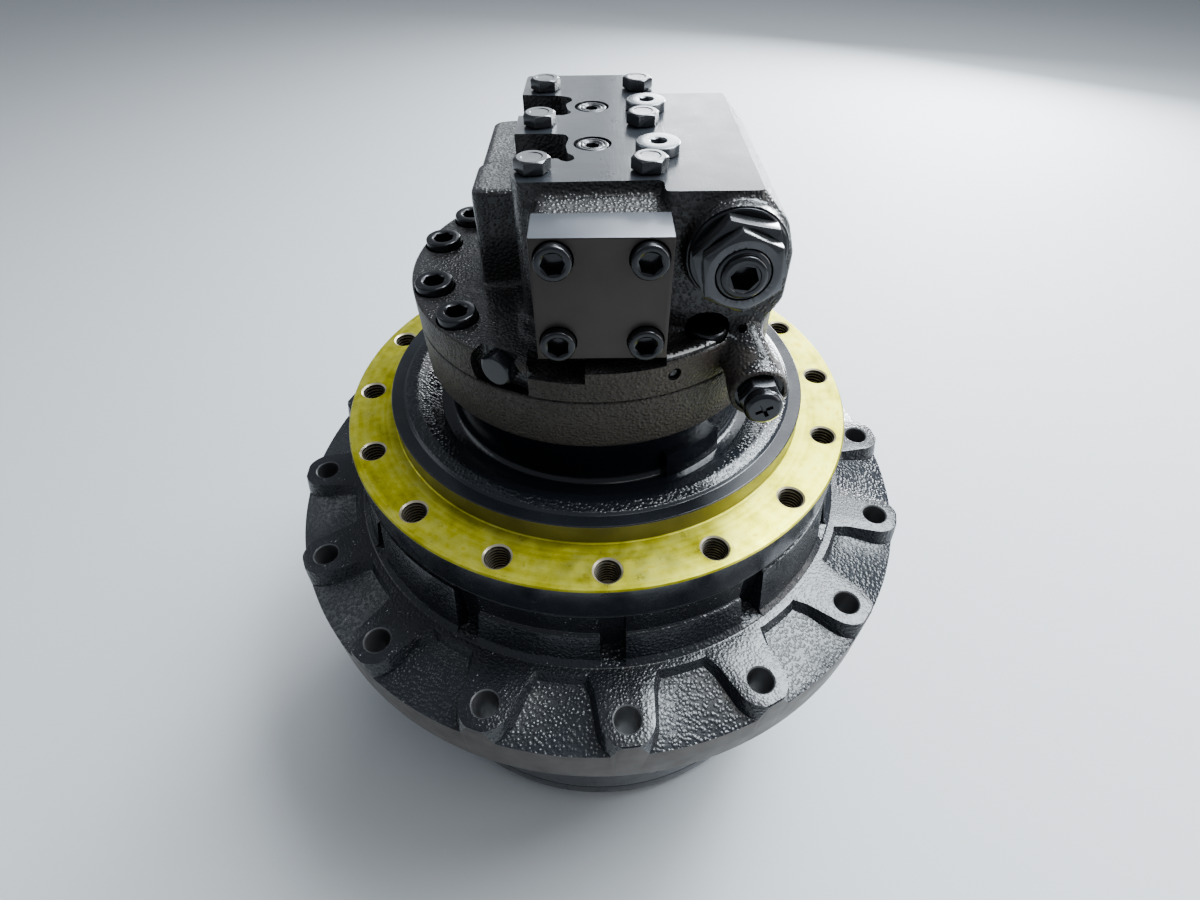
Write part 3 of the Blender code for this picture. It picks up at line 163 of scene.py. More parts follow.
def cast_paint(name, dark, light, rough, pebble, distance, painted_glints=0.0, coat=0.35):
    """Black paint over a pebbled sand casting, with optional painted glints: light grey dots in the base colour that
    stand in for sparkles of light.
    """
    material, tree, shader = tree_of(name)
    patches = noise_of(tree, 13, 4)
    colour = ramp(tree, patches, [(0.35, dark), (0.68, light)])
    cells = add(tree, "ShaderNodeTexVoronoi", feature="SMOOTH_F1", Scale=pebble, Smoothness=0.35)
    tree.links.new(coordinates(tree), cells.inputs["Vector"])
    grains = ramp(tree, cells.outputs["Distance"], [(0.05, 1.0), (0.62, 0.0)])
    bump(tree, shader, noise_of(tree, 48, 2), 0.0005, 0.5)
    bump(tree, shader, noise_of(tree, 900, 1), 0.00008, 0.7)
    bump(tree, shader, grains, distance, 1.0)
    roughness = ramp(tree, noise_of(tree, 45, 4), [(0.3, rough[0]), (0.7, rough[1])])
    tree.links.new(roughness, shader.inputs["Roughness"])
    # Painted glints: sparse light grey dots mixed into the base colour stand in for sparkles of light on the pebbles.
    if painted_glints:
        glint_dots = add(tree, "ShaderNodeTexVoronoi", Scale=330)
        tree.links.new(coordinates(tree), glint_dots.inputs["Vector"])
        near = ramp(tree, glint_dots.outputs["Distance"], [(0.14, painted_glints), (0.22, 0.0)])
        some = ramp(tree, noise_of(tree, 110, 2), [(0.56, 0.0), (0.64, 1.0)])
        where = add(tree, "ShaderNodeMath", operation="MULTIPLY")
        tree.links.new(near, where.inputs[0])
        tree.links.new(some, where.inputs[1])
        mix = add(tree, "ShaderNodeMix", data_type="RGBA")
        tree.links.new(where.outputs[0], mix.inputs["Factor"])
        tree.links.new(colour, mix.inputs["A"])
        mix.inputs["B"].default_value = (0.5, 0.5, 0.52, 1)
        colour = mix.outputs["Result"]
    tree.links.new(colour, shader.inputs["Base Color"])
    shader.inputs["Coat Weight"].default_value = coat
    shader.inputs["Coat Roughness"].default_value = 0.16
    return material


def machined_paint(name, dark, light, rough, metallic=0.0, turned=True, coat=0.3, mark=0.00004, grain=None):
    """Paint or oxide over a machined face, with faint tool marks."""
    material, tree, shader = tree_of(name)
    patches = noise_of(tree, 18, 4)
    tree.links.new(ramp(tree, patches, [(0.32, dark), (0.7, light)]), shader.inputs["Base Color"])
    vector = turned_vector(tree) if turned else stretched_vector(tree, grain or (1, 0.05, 1))
    bump(tree, shader, noise_of(tree, 900, 2, vector), mark, 0.8)
    bump(tree, shader, noise_of(tree, 160, 3), mark * 1.5, 0.6)
    roughness = ramp(tree, noise_of(tree, 60, 5), [(0.3, rough[0]), (0.7, rough[1])])
    tree.links.new(roughness, shader.inputs["Roughness"])
    shader.inputs["Metallic"].default_value = metallic
    shader.inputs["Coat Weight"].default_value = coat
    shader.inputs["Coat Roughness"].default_value = 0.1
    return material


def passivated():
    """Yellow passivation on a turned flange: bright, streaky, a little green."""
    material, tree, shader = tree_of("yellow_passivation")
    rings = noise_of(tree, 240, 3, turned_vector(tree))
    clouds = noise_of(tree, 34, 7, roughness=0.7)
    blend = add(tree, "ShaderNodeMath", operation="MULTIPLY_ADD")
    tree.links.new(rings, blend.inputs[0])
    blend.inputs[1].default_value = 0.45
    tree.links.new(clouds, blend.inputs[2])
    stops = [
        (0.50, (0.28, 0.26, 0.015)),
        (0.62, (0.40, 0.38, 0.03)),
        (0.74, (0.50, 0.48, 0.07)),
        (0.84, (0.54, 0.53, 0.11)),
        (0.94, (0.48, 0.41, 0.02)),
    ]
    colour = ramp(tree, blend.outputs[0], stops)
    stains = ramp(tree, noise_of(tree, 75, 6, roughness=0.75), [(0.59, 0.0), (0.70, 0.85)])
    mix = add(tree, "ShaderNodeMix", data_type="RGBA")
    tree.links.new(stains, mix.inputs["Factor"])
    tree.links.new(colour, mix.inputs["A"])
    mix.inputs["B"].default_value = (0.30, 0.24, 0.02, 1)
    tree.links.new(mix.outputs["Result"], shader.inputs["Base Color"])
    roughness = ramp(tree, noise_of(tree, 90, 5), [(0.3, 0.26), (0.7, 0.46)])
    tree.links.new(roughness, shader.inputs["Roughness"])
    shader.inputs["Metallic"].default_value = 0.75
    bump(tree, shader, noise_of(tree, 1400, 2, turned_vector(tree)), 0.00004, 0.7)
    bump(tree, shader, noise_of(tree, 300, 3), 0.00006, 0.5)
    return material


CAST = cast_paint("cast_black_paint", (0.021, 0.020, 0.021), (0.033, 0.032, 0.033), (0.20, 0.32), 470, 0.0006)
# The hub and pocket paints carry painted glints, given as their seventh argument.
HUB_CAST = cast_paint("hub_black_paint", (0.010, 0.011, 0.014), (0.016, 0.018, 0.022), (0.20, 0.28), 420, 0.00022, 0.55)
POCKET_CAST = cast_paint(
    "pocket_black_paint", (0.013, 0.015, 0.019), (0.022, 0.025, 0.030), (0.20, 0.30), 360, 0.0005, 0.3
)
SMOOTH_CAST = cast_paint("case_black_paint", (0.007, 0.009, 0.013), (0.012, 0.014, 0.019), (0.12, 0.22), 300, 0.00008)
BEAD_CAST = cast_paint("bead_black_paint", (0.009, 0.011, 0.015), (0.015, 0.018, 0.023), (0.14, 0.24), 380, 0.0004)
BROWN_CAST = cast_paint(
    "brown_black_cast", (0.034, 0.028, 0.025), (0.058, 0.049, 0.043), (0.42, 0.54), 430, 0.0006, 0.0, 0.05
)
MACHINED = machined_paint("machined_black_paint", (0.012, 0.014, 0.018), (0.022, 0.025, 0.031), (0.18, 0.30))
TOP = machined_paint(
    "milled_top_paint", (0.022, 0.025, 0.030), (0.036, 0.040, 0.047), (0.26, 0.34), 0.0, False, 0.05, 0.00006
)
PLATE = machined_paint(
    "plate_satin", (0.064, 0.056, 0.053), (0.080, 0.071, 0.067), (0.34, 0.42), 0.5, False, 0.0, 0.00002, (1, 1, 0.03)
)
SCREW = machined_paint("black_oxide", (0.040, 0.041, 0.045), (0.065, 0.067, 0.072), (0.18, 0.28), 0.8, True, 0.3)
PLUG = machined_paint("blackened_plug", (0.060, 0.062, 0.068), (0.10, 0.103, 0.11), (0.16, 0.28), 0.7, True, 0.3)
RIM = machined_paint("rim_brown_black", (0.060, 0.052, 0.046), (0.10, 0.088, 0.078), (0.36, 0.48), 0.4, True, 0.0)
# Thread colours: the thread's bronze lightened on the crests as a painted highlight, and a dark copy for the roots as
# painted shade.
CREST_LIT = machined_paint("thread_crest_lit_bronze", (0.42, 0.38, 0.29), (0.56, 0.51, 0.40), (0.30, 0.42), 0.7, True, 0.0)
GROOVE_SHADE = machined_paint("thread_groove_painted_shade", (0.030, 0.026, 0.018), (0.055, 0.048, 0.034), (0.40, 0.52), 0.5, True, 0.0)
GROUND = machined_paint(
    "ground_top", (0.16, 0.17, 0.18), (0.20, 0.21, 0.23), (0.22, 0.30), 0.85, False, 0.2, 0.00001, (1, 0.05, 1)
)
# A lighter copy of the plate finish for its top face: painted sheen from the light above.
PLATE_TOP_SHEEN = machined_paint(
    "plate_top_painted_sheen", (0.18, 0.19, 0.21), (0.22, 0.23, 0.255), (0.38, 0.42), 0.6, False, 0.0, 0.000005, (1, 1, 0.03)
)
BOLT = machined_paint(
    "bolt_oxide", (0.080, 0.082, 0.087), (0.130, 0.133, 0.140), (0.18, 0.30), 0.85, False, 0.2, 0.00003
)
# Light grey for paint chips and a painted highlight along the rim band's top edge.
CHIP_HIGHLIGHT = machined_paint("chipped_edge_highlight", (0.36, 0.36, 0.36), (0.62, 0.62, 0.62), (0.40, 0.55), 0.4, False, 0.0)
HOLE = machined_paint("hole_wall", (0.10, 0.10, 0.105), (0.17, 0.17, 0.175), (0.34, 0.46), 0.3, True, 0.0)
# The spigot wall keeps the yellow passivation, painted darker and browner as shade on the vertical wall.
SPIGOT_SHADED_YELLOW = machined_paint("spigot_wall_shaded_yellow", (0.16, 0.145, 0.055), (0.27, 0.25, 0.11), (0.36, 0.48), 0.6, True, 0.0)
YELLOW = passivated()


# Shapes


def mesh_of(name, bm, material=None, angle=35):
    bmesh.ops.recalc_face_normals(bm, faces=bm.faces)
    mesh = bpy.data.meshes.new(name)
    bm.to_mesh(mesh)
    bm.free()
    mesh.shade_smooth()
    mesh.set_sharp_from_angle(angle=math.radians(angle))
    if material:
        mesh.materials.append(material)
    return mesh


def link(name, mesh, matrix=None):
    piece = bpy.data.objects.new(name, mesh)
    bpy.context.scene.collection.objects.link(piece)
    if matrix is not None:
        piece.matrix_world = matrix
    return piece


def fillet(points, closed=True, steps=5):
    """Rounds the corners of a 2-D outline whose points are (a, b, radius)."""
    out = []
    count = len(points)
    for index, point in enumerate(points):
        corner = Vector(point[:2])
        radius = point[2] if len(point) > 2 else 0
        ends = not closed and index in (0, count - 1)
        if radius <= 0 or ends:
            out.append(tuple(corner))
            continue
        before = Vector(points[index - 1][:2]) - corner
        after = Vector(points[(index + 1) % count][:2]) - corner
        half = before.angle(after) / 2
        if half > 1.56:
            out.append(tuple(corner))
            continue
        reach = min(radius / math.tan(half), before.length * 0.49, after.length * 0.49)
        radius = reach * math.tan(half)
        one = corner + before.normalized() * reach
        two = corner + after.normalized() * reach
        centre = corner + (before.normalized() + after.normalized()).normalized() * (radius / math.sin(half))
        start = one - centre
        turn = start.angle_signed(two - centre)
        for step in range(steps + 1):
            share = step / steps
            spun = Matrix.Rotation(-turn * share, 2) @ start
            out.append(tuple(centre + spun))
    return out


def lathe(name, profile, material=None, sides=SIDES):
    """Turns a closed (r, z[, radius]) profile about the axis."""
    outline = fillet(profile)
    bm = bmesh.new()
    rows = []
    for side in range(sides):
        turn = 2 * math.pi * side / sides
        c, s = math.cos(turn), math.sin(turn)
        rows.append([bm.verts.new(place(r * c, r * s, z)) for r, z in outline])
    for side in range(sides):
        near, far = rows[side - 1], rows[side]
        for index in range(len(outline)):
            bm.faces.new((near[index - 1], near[index], far[index], far[index - 1]))
    return mesh_of(name, bm, material)


def spun(name, profile, material=None, sides=48, angle=30):
    """Turns an open (r, z[, radius]) profile, whose two ends lie on the axis, about its own +Z."""
    outline = fillet(profile, False, 4)
    bm = bmesh.new()
    rows = []
    for r, z in outline:
        if r < 1e-6:
            rows.append([bm.verts.new((0, 0, z / 1000))])
            continue
        ring = []
        for side in range(sides):
            turn = 2 * math.pi * side / sides
            ring.append(bm.verts.new((r * math.cos(turn) / 1000, r * math.sin(turn) / 1000, z / 1000)))
        rows.append(ring)
    for low, high in zip(rows, rows[1:]):
        for side in range(sides):
            a, b = low[side - 1 if len(low) > 1 else 0], low[side if len(low) > 1 else 0]
            c, d = high[side if len(high) > 1 else 0], high[side - 1 if len(high) > 1 else 0]
            corners = []
            for vert in (a, b, c, d):
                if vert not in corners:
                    corners.append(vert)
            if len(corners) > 2:
                bm.faces.new(corners)
    return mesh_of(name, bm, material, angle)


def skin(bm, rings):
    """Joins rings of vertices of equal count and closes both ends."""
    for low, high in zip(rings, rings[1:]):
        for index in range(len(low)):
            bm.faces.new((low[index - 1], low[index], high[index], high[index - 1]))
    bm.faces.new(rings[0])
    bm.faces.new(rings[-1])


def stack(bm, sections):
    """A body through (points, height) outlines of equal count; world millimetres."""
    skin(bm, [[bm.verts.new(place(x, y, z)) for x, y in outline] for outline, z in sections])


def block(name, outline, low, high):
    bm = bmesh.new()
    stack(bm, [(outline, low), (outline, high)])
    return mesh_of(name, bm)


def prism(name, outline, low, high, material=None):
    """A straight body on an outline, in millimetres about its own origin with +Z out."""
    bm = bmesh.new()
    skin(bm, [[bm.verts.new((x / 1000, y / 1000, z / 1000)) for x, y in outline] for z in (low, high)])
    return mesh_of(name, bm, material)


def front_stack(name, sections, material=None):
    """A body through (x, z) outlines of equal count, each at its own y."""
    bm = bmesh.new()
    skin(bm, [[bm.verts.new(place(x, y, z)) for x, z in outline] for outline, y in sections])
    return mesh_of(name, bm, material)


def front_block(name, outline, back, front, material=None):
    """Extrudes an (x, z) outline from y = back to y = front."""
    return front_stack(name, [(outline, back), (outline, front)], material)


def ellipse(x, z, across, high, count=40):
    turns = [2 * math.pi * i / count for i in range(count)]
    return [(x + across * math.cos(t), z + high * math.sin(t)) for t in turns]


def ring_points(radius, count=48, centre=(0, 0)):
    return ellipse(*centre, radius, radius, count)


def rectangle(left, right, front, back, radius=0.0, steps=5):
    points = [(left, front, radius), (right, front, radius), (right, back, radius), (left, back, radius)]
    return fillet(points, steps=steps)


def joined(name, meshes, matrices=None):
    """One mesh of several bodies."""
    bm = bmesh.new()
    for index, mesh in enumerate(meshes):
        part = bmesh.new()
        part.from_mesh(mesh)
        if matrices and matrices[index] is not None:
            bmesh.ops.transform(part, matrix=matrices[index], verts=part.verts)
        temp = bpy.data.meshes.new("temp")
        part.to_mesh(temp)
        part.free()
        bm.from_mesh(temp)
        bpy.data.meshes.remove(temp)
    out = bpy.data.meshes.new(name)
    bm.to_mesh(out)
    bm.free()
    return out


def bake(piece):
    """Applies the modifiers of a piece."""
    graph = bpy.context.evaluated_depsgraph_get()
    mesh = bpy.data.meshes.new_from_object(piece.evaluated_get(graph), depsgraph=graph)
    old = piece.data
    piece.modifiers.clear()
    piece.data = mesh
    bpy.data.meshes.remove(old)
    return piece


def boolean(piece, mesh, operation="DIFFERENCE", solver="EXACT"):
    """Cuts or joins the mesh, which is in the piece's own coordinates."""
    tool = link("tool", mesh)
    tool.matrix_world = piece.matrix_world
    modifier = piece.modifiers.new("cut", "BOOLEAN")
    modifier.operation = operation
    modifier.solver = solver
    modifier.object = tool
    modifier.material_mode = "TRANSFER"
    bake(piece)
    bpy.data.objects.remove(tool)
    return piece


def bevel(piece, width, segments, angle):
    modifier = piece.modifiers.new("bevel", "BEVEL")
    modifier.width = width / 1000
    modifier.segments = segments
    modifier.limit_method = "ANGLE"
    modifier.angle_limit = math.radians(angle)
    modifier.use_clamp_overlap = True
    modifier.miter_outer = "MITER_ARC"
    bake(piece)
    return piece


def smooth(piece, angle):
    piece.data.shade_smooth()
    piece.data.set_sharp_from_angle(angle=math.radians(angle))
    return piece


def stand_for(piece, body, *names):
    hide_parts(*names)
    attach(piece, body)
    return piece


def paint_where(piece, material, test):
    """Gives the material to each face whose centre and normal pass the test, in millimetres."""
    mesh = piece.data
    mesh.materials.append(material)
    index = len(mesh.materials) - 1
    for polygon in mesh.polygons:
        c = polygon.center
        if test(c.x * 1000, c.y * 1000, (c.z - FACE) * 1000, polygon.normal):
            polygon.material_index = index


# Spindle


def spindle():
    profile = [
        (98, 96, 0),
        (136.2, 96, 2),
        (136.2, 56.7, 5),
        (122, 47, 9),
        (122, 6.5, 9),
        (135.5, 5.5, 0.6),
        (145, 16.8, 5),
        (154, 20.8, 7),
        (163, 19.2, 3),
        (165.5, 17.6, 1.2),
        (174.9, 18.2, 0.6),
        (175.6, 17.4, 0.4),
        (175.6, 0.6, 0.4),
        (176.6, 0, 0.4),
        (213.8, 0, 0.5),
        (215, -1.2, 0.5),
        (215, -31.2, 0.5),
        (214.2, -32, 0.4),
        (162, -32, 0),
        (162, -70.7, 0),
        (130, -70.7, 0),
        (130, -193.5, 0),
        (100, -193.5, 0),
        (100, -212, 0),
        (30, -212, 0),
        (30, -150, 0),
        (98, -150, 0),
    ]
    piece = link("spindle_body", lathe("spindle_body", profile, SMOOTH_CAST))
    lug = arc_band(116, 131, -66, -43, 3, 27, 12, 3)
    lug.materials.append(SMOOTH_CAST)
    boolean(piece, lug, "UNION")

    def yellow(x, y, z, n):
        r = math.hypot(x, y)
        return 175.4 < r < 214.9 and -1.4 < z < 3

    def smooth_part(x, y, z, n):
        r = math.hypot(x, y)
        return (164 < r < 176 and z > 0) or (r > 214.4 and z < -1.0)

    paint_where(piece, MACHINED, smooth_part)
    paint_where(piece, BEAD_CAST, lambda x, y, z, n: 135.6 < math.hypot(x, y) < 164 and z > 5.6)
    paint_where(piece, BROWN_CAST, lambda x, y, z, n: z > 48 and math.hypot(x, y) > 122.5)
    # The vertical spigot wall gets the darker copy of the yellow, as painted shade.
    paint_where(piece, SPIGOT_SHADED_YELLOW, lambda x, y, z, n: 0.3 < z < 17.5 and math.hypot(x, y) > 175.4)
    paint_where(piece, YELLOW, yellow)
    bottom, pitch = -26, 3.1
    thread = [(0, bottom)]
    for turn in range(8):
        start = bottom + pitch * turn
        thread += [(8.7, start), (8.7, start + 1.25), (10.3, start + 1.75), (10.3, start + 2.7)]
    thread += [(9.4, -1.1), (10.8, 0.0), (10.8, 3), (0, 3)]
    drill = spun("thread_drill", [(r, h, 0) for r, h in thread], CREST_LIT, 36, 20)
    drill.materials.append(GROOVE_SHADE)
    # Crests and chamfer keep the light bronze and the roots get the dark copy: a painted highlight and painted shade
    # that draw the thread lines.
    for polygon in drill.polygons:
        c = polygon.center * 1000
        polygon.material_index = 1 if math.hypot(c.x, c.y) > 8.8 and c.z < -1.3 else 0
    matrices = []
    for index in range(HOLE_COUNT):
        turn = math.radians(FRAME_HOLE_START + 360 / HOLE_COUNT * index)
        matrices.append(Matrix.Translation(polar(FRAME_HOLE_CIRCLE, turn, 0)))
    cutter = joined("thread_drills", [drill] * HOLE_COUNT, matrices)
    cutter.materials.append(CREST_LIT)
    cutter.materials.append(GROOVE_SHADE)
    boolean(piece, cutter)
    smooth(piece, 30)
    return stand_for(piece, "spindle", "spindle")


# Hub


def pocket(middle, grow):
    """The sunk field between two lobes; grow shrinks it all round, for a sloped wall."""
    half = HOLE_STEP / 2
    hole = Vector((SPROCKET_HOLE_CIRCLE * math.cos(half), SPROCKET_HOLE_CIRCLE * math.sin(half)))
    along = Vector((math.cos(half), math.sin(half)))
    aside = Vector((along.y, -along.x))
    radius = 19.8 + grow
    outer = 290.0
    side = [Vector((outer, 0)), hole + along * (outer - 262) + aside * (radius * 0.15)]
    for step in range(9):
        lean = math.radians(74 - 74 * step / 8)
        side.append(hole + radius * (aside * math.cos(lean) + along * math.sin(lean)))
    inner = 232.0 + grow
    root = hole - along * (SPROCKET_HOLE_CIRCLE - inner - 9) + aside * (21.8 + grow)
    foot = hole - along * (SPROCKET_HOLE_CIRCLE - inner + 2) + aside * (25.5 + grow)
    corner = fillet([(side[-1].x, side[-1].y), (root.x, root.y, 18), (foot.x, foot.y)], False, 4)
    side += [Vector(p) for p in corner[1:]]
    upper = [(p.x, p.y) for p in side]
    tail = upper[-1]
    end = math.atan2(tail[1], tail[0])
    rim = []
    for step in range(1, 5):
        turn = end * (1 - step / 5)
        rim.append((inner * math.cos(turn), inner * math.sin(turn)))
    upper = upper + rim
    lower = [(x, -y) for x, y in reversed(upper) if abs(y) > 1e-6]
    both = upper + [(inner, 0)] + lower
    spin = Matrix.Rotation(middle, 2)
    return [tuple(spin @ Vector(point)) for point in both]


NOTCH_ANGLES = [math.radians(-87.2 + 30 * index) for index in range(12)]


def hub_segments():
    """Full-height segments, every third one, between the notches of the barrel."""
    pieces = []
    for index in (1, 4, 7, 10):
        start = math.degrees(NOTCH_ANGLES[index])
        pieces.append(arc_band(206, 221.6, start + 0.6, start + 29.4, -86, -39.6, 24, 6.6))
    return joined("hub_segments", pieces)


def hub_notches():
    pieces = []
    for angle in NOTCH_ANGLES:
        spin = Matrix.Rotation(angle, 2)
        corners = [tuple(spin @ Vector(p)) for p in rectangle(207, 229, -9.5, 9.5, 2.5, 3)]
        pieces.append(block("notch", corners, -88.2, -36.8))
    return joined("hub_notches", pieces)


def hub():
    profile = [
        (190, -35, 0),
        (211.5, -35, 0),
        (213.2, -36.6, 0.8),
        (213.2, -59.5, 1.5),
        (216.0, -60.5, 1.5),
        (221.6, -85, 3),
        (226.0, -89, 3),
        (284, -89, 1.5),
        (284, -147, 2.0),
        (280, -150, 1.2),
        (240, -150, 3),
        (232, -158, 6),
        (232, -182.3, 0.5),
        (170.3, -182.3, 0),
        (170.3, -144.7, 0),
        (158, -144.7, 0),
        (158, -105.3, 0),
        (170.3, -105.3, 0),
        (170.3, -70, 0),
        (190, -70, 0),
    ]
    piece = link("hub_body", lathe("hub_body", profile, HUB_CAST))
    first = math.radians(SPROCKET_HOLE_START)
    bm = bmesh.new()
    for index in range(HOLE_COUNT):
        middle = first + HOLE_STEP / 2 + index * HOLE_STEP
        along = Vector((math.cos(middle), math.sin(middle)))
        floor = []
        for x, y in pocket(middle, 3.6):
            fall = (Vector((x, y)).dot(along) - 232) * 0.19
            floor.append(bm.verts.new(place(x, y, -96 - fall)))
        rings = [floor]
        for z in (-88.8, -84):
            rings.append([bm.verts.new(place(x, y, z)) for x, y in pocket(middle, 0)])
        skin(bm, rings)
    boolean(piece, mesh_of("pockets", bm, HUB_CAST))
    boolean(piece, hub_segments(), "UNION")
    boolean(piece, hub_notches())
    piece.data.materials.clear()
    piece.data.materials.append(HUB_CAST)
    bevel(piece, 1.7, 3, 28)
    bore = [(0, -160), (11.6, -160), (11.6, -151), (10, -149.4), (10, -90), (11.4, -88.6), (11.4, -80), (0, -80)]
    drill = spun("sprocket_drill", bore, HOLE, 40, 30)
    matrices = []
    for index in range(HOLE_COUNT):
        turn = first + index * HOLE_STEP
        matrices.append(Matrix.Translation(polar(SPROCKET_HOLE_CIRCLE, turn, 0)))
    cutter = joined("sprocket_drills", [drill] * HOLE_COUNT, matrices)
    cutter.materials.append(HOLE)
    boolean(piece, cutter)

    paint_where(piece, POCKET_CAST, lambda x, y, z, n: -108 < z < -90.4 and 228 < math.hypot(x, y) < 283.6)
    paint_where(piece, POCKET_CAST, lambda x, y, z, n: -88.6 < z < -61 and math.hypot(x, y) < 225)
    paint_where(piece, RIM, lambda x, y, z, n: math.hypot(x, y) > 279 and z < -107)
    paint_where(piece, MACHINED, lambda x, y, z, n: z < -152 or (math.hypot(x, y) < 214 and z > -37))
    smooth(piece, 30)
    return stand_for(piece, "hub", "hub")


def end_cover():
    profile = [
        (0, -325.3),
        (18, -325.3, 1),
        (18, -340, 0),
        (180, -340, 1),
        (180, -352.3, 0),
        (231, -352.3, 0.8),
        (232, -353.2, 0.5),
        (232, -371, 1.2),
        (230, -372.3, 1),
        (192, -372.3, 3),
        (178, -388, 4),
        (62, -388, 2),
        (58, -384, 2),
        (0, -384),
    ]
    turned = spun("end_cover_body", profile, MACHINED, 160)
    turned.transform(Matrix.Translation(place(0, 0, 0)))
    piece = link("end_cover_body", turned)
    head = hex_bolt("end_cover_head", 19, 11.5, 5, 2, MACHINED)
    over = Matrix.Rotation(math.pi, 4, "X")
    matrices = []
    for index in range(HOLE_COUNT):
        turn = index * HOLE_STEP
        spot = polar(END_SCREW_CIRCLE, turn, -370.8)
        matrices.append(Matrix.Translation(spot) @ Matrix.Rotation(turn, 4, "Z") @ over)
    heads = joined("end_cover_heads", [head] * HOLE_COUNT, matrices)
    heads.materials.append(MACHINED)
    boolean(piece, heads, "UNION", "MANIFOLD")
    return stand_for(smooth(piece, 30), "hub", "end_cover")


# Valve cover


def cylinder(name, x, y, low, high, radius, count=48):
    return block(name, ring_points(radius, count, (x, y)), low, high)


def remeshed(piece, size):
    """Melts crossing solids into one casting."""
    modifier = piece.modifiers.new("remesh", "REMESH")
    modifier.mode = "VOXEL"
    modifier.voxel_size = size / 1000
    return bake(piece)


def soften(piece, factor, rounds):
    """Rounds the inner and outer corners of a casting."""
    modifier = piece.modifiers.new("smooth", "SMOOTH")
    modifier.factor = factor
    modifier.iterations = rounds
    return bake(piece)


def arc_band(inner, outer, start, end, low, high, steps=16, taper=0.0):
    """Part of a ring, whose outside leans in by the taper towards the top."""
    turns = [math.radians(start + (end - start) * i / steps) for i in range(steps + 1)]
    sections = []
    for radius, z in ((outer, low), (outer - taper, high)):
        points = [(radius * math.cos(t), radius * math.sin(t)) for t in turns]
        points += [(inner * math.cos(t), inner * math.sin(t)) for t in reversed(turns)]
        sections.append((points, z))
    bm = bmesh.new()
    stack(bm, sections)
    return mesh_of("arc_band", bm)


# Outlines with the radii of their corners; RIGHT_BLOCK is seen from the front, the others from above
STRIP = [
    (-47, -57, 0),
    (-47.5, -74, 3),
    (-42.5, -85, 4),
    (42, -83, 2),
    (44, -60, 0),
    (44, 112.5, 4),
    (-50.5, 112.5, 4),
    (-51, 66, 0),
    (-50.4, 22, 0),
    (-50.4, -9, 0),
]
FRONT_POCKET = [
    (-51.6, -57.5, 0),
    (-46, -56.5, 2),
    (-32, -52, 6),
    (-21, -50.2, 3),
    (-18.7, -53.9, 3),
    (-14.4, -56.2, 3),
    (-10.6, -51.6, 3),
    (-11.7, -46.8, 3),
    (-15.5, -42.2, 5),
    (-16.6, -30.6, 8),
    (-15.1, -18.5, 4),
    (-17.1, -12.2, 4),
    (-26.5, -10.7, 3),
    (-49, -10.5, 2),
    (-51.6, -10.5, 0),
]
REAR_POCKET = [
    (-51.8, 24, 0),
    (-50, 23.5, 2),
    (-30, 24.5, 4),
    (-20, 23.4, 4),
    (-13.8, 28, 4),
    (-17.7, 35.6, 5),
    (-18.9, 45.7, 6),
    (-14.3, 53.3, 4),
    (-15.8, 60.2, 4),
    (-22.9, 63.6, 4),
    (-51.2, 66.7, 2),
    (-51.8, 67, 0),
]
RIGHT_BLOCK = [
    (40, 112, 0),
    (109, 112, 0),
    (109, 131, 10),
    (118, 147, 14),
    (118, 178, 12),
    (112, 197, 14),
    (101, 209, 10),
    (92, 219, 4),
    (40, 219, 0),
]
# Screws and plugs: angles in degrees, or spots (x, y), or (x, z) on the front plate
COVER_SCREWS = (147.0, 168.0, 198.5, 220.0, 307.0, 341.5, 12.0, 33.0)
PORT_BOLTS = [(x, y) for x in (-34.5, 33.0) for y in (-68.0, 6.5, 79.5)]
PORT_CAPS = ((39.5, -42.0), (36.5, 34.0))
GAUGE_PLUGS = ((0.0, -28.0), (-0.6, 40.5))
PLATE_SCREWS = ((-21.5, 194.1), (30.5, 194.1), (-21.5, 140.5), (30.5, 140.5))
DRAIN = math.radians(242)
SPOOL_X, SPOOL_Z, SPOOL_SEAT = 82.5, 182.5, -107.3
VALVE_X, VALVE_Z = 105.5, 97


def radial(angle, radius, height):
    """A frame whose Z points outward from the axis at this angle."""
    out = Vector((math.cos(angle), math.sin(angle), 0))
    side = Vector((0, 0, 1)).cross(out)
    turn = Matrix((side, Vector((0, 0, 1)), out)).transposed().to_4x4()
    return Matrix.Translation(place(radius * out.x, radius * out.y, height)) @ turn


def neck_block():
    """The neck behind the front plate, whose top slopes up to the port strip."""
    low, high = rectangle(-33, 42.5, -101.5, -50), rectangle(-33, 42.5, -84, -50)
    bm = bmesh.new()
    stack(bm, [(low, 114), (low, 203), (high, 209)])
    return mesh_of("neck", bm)


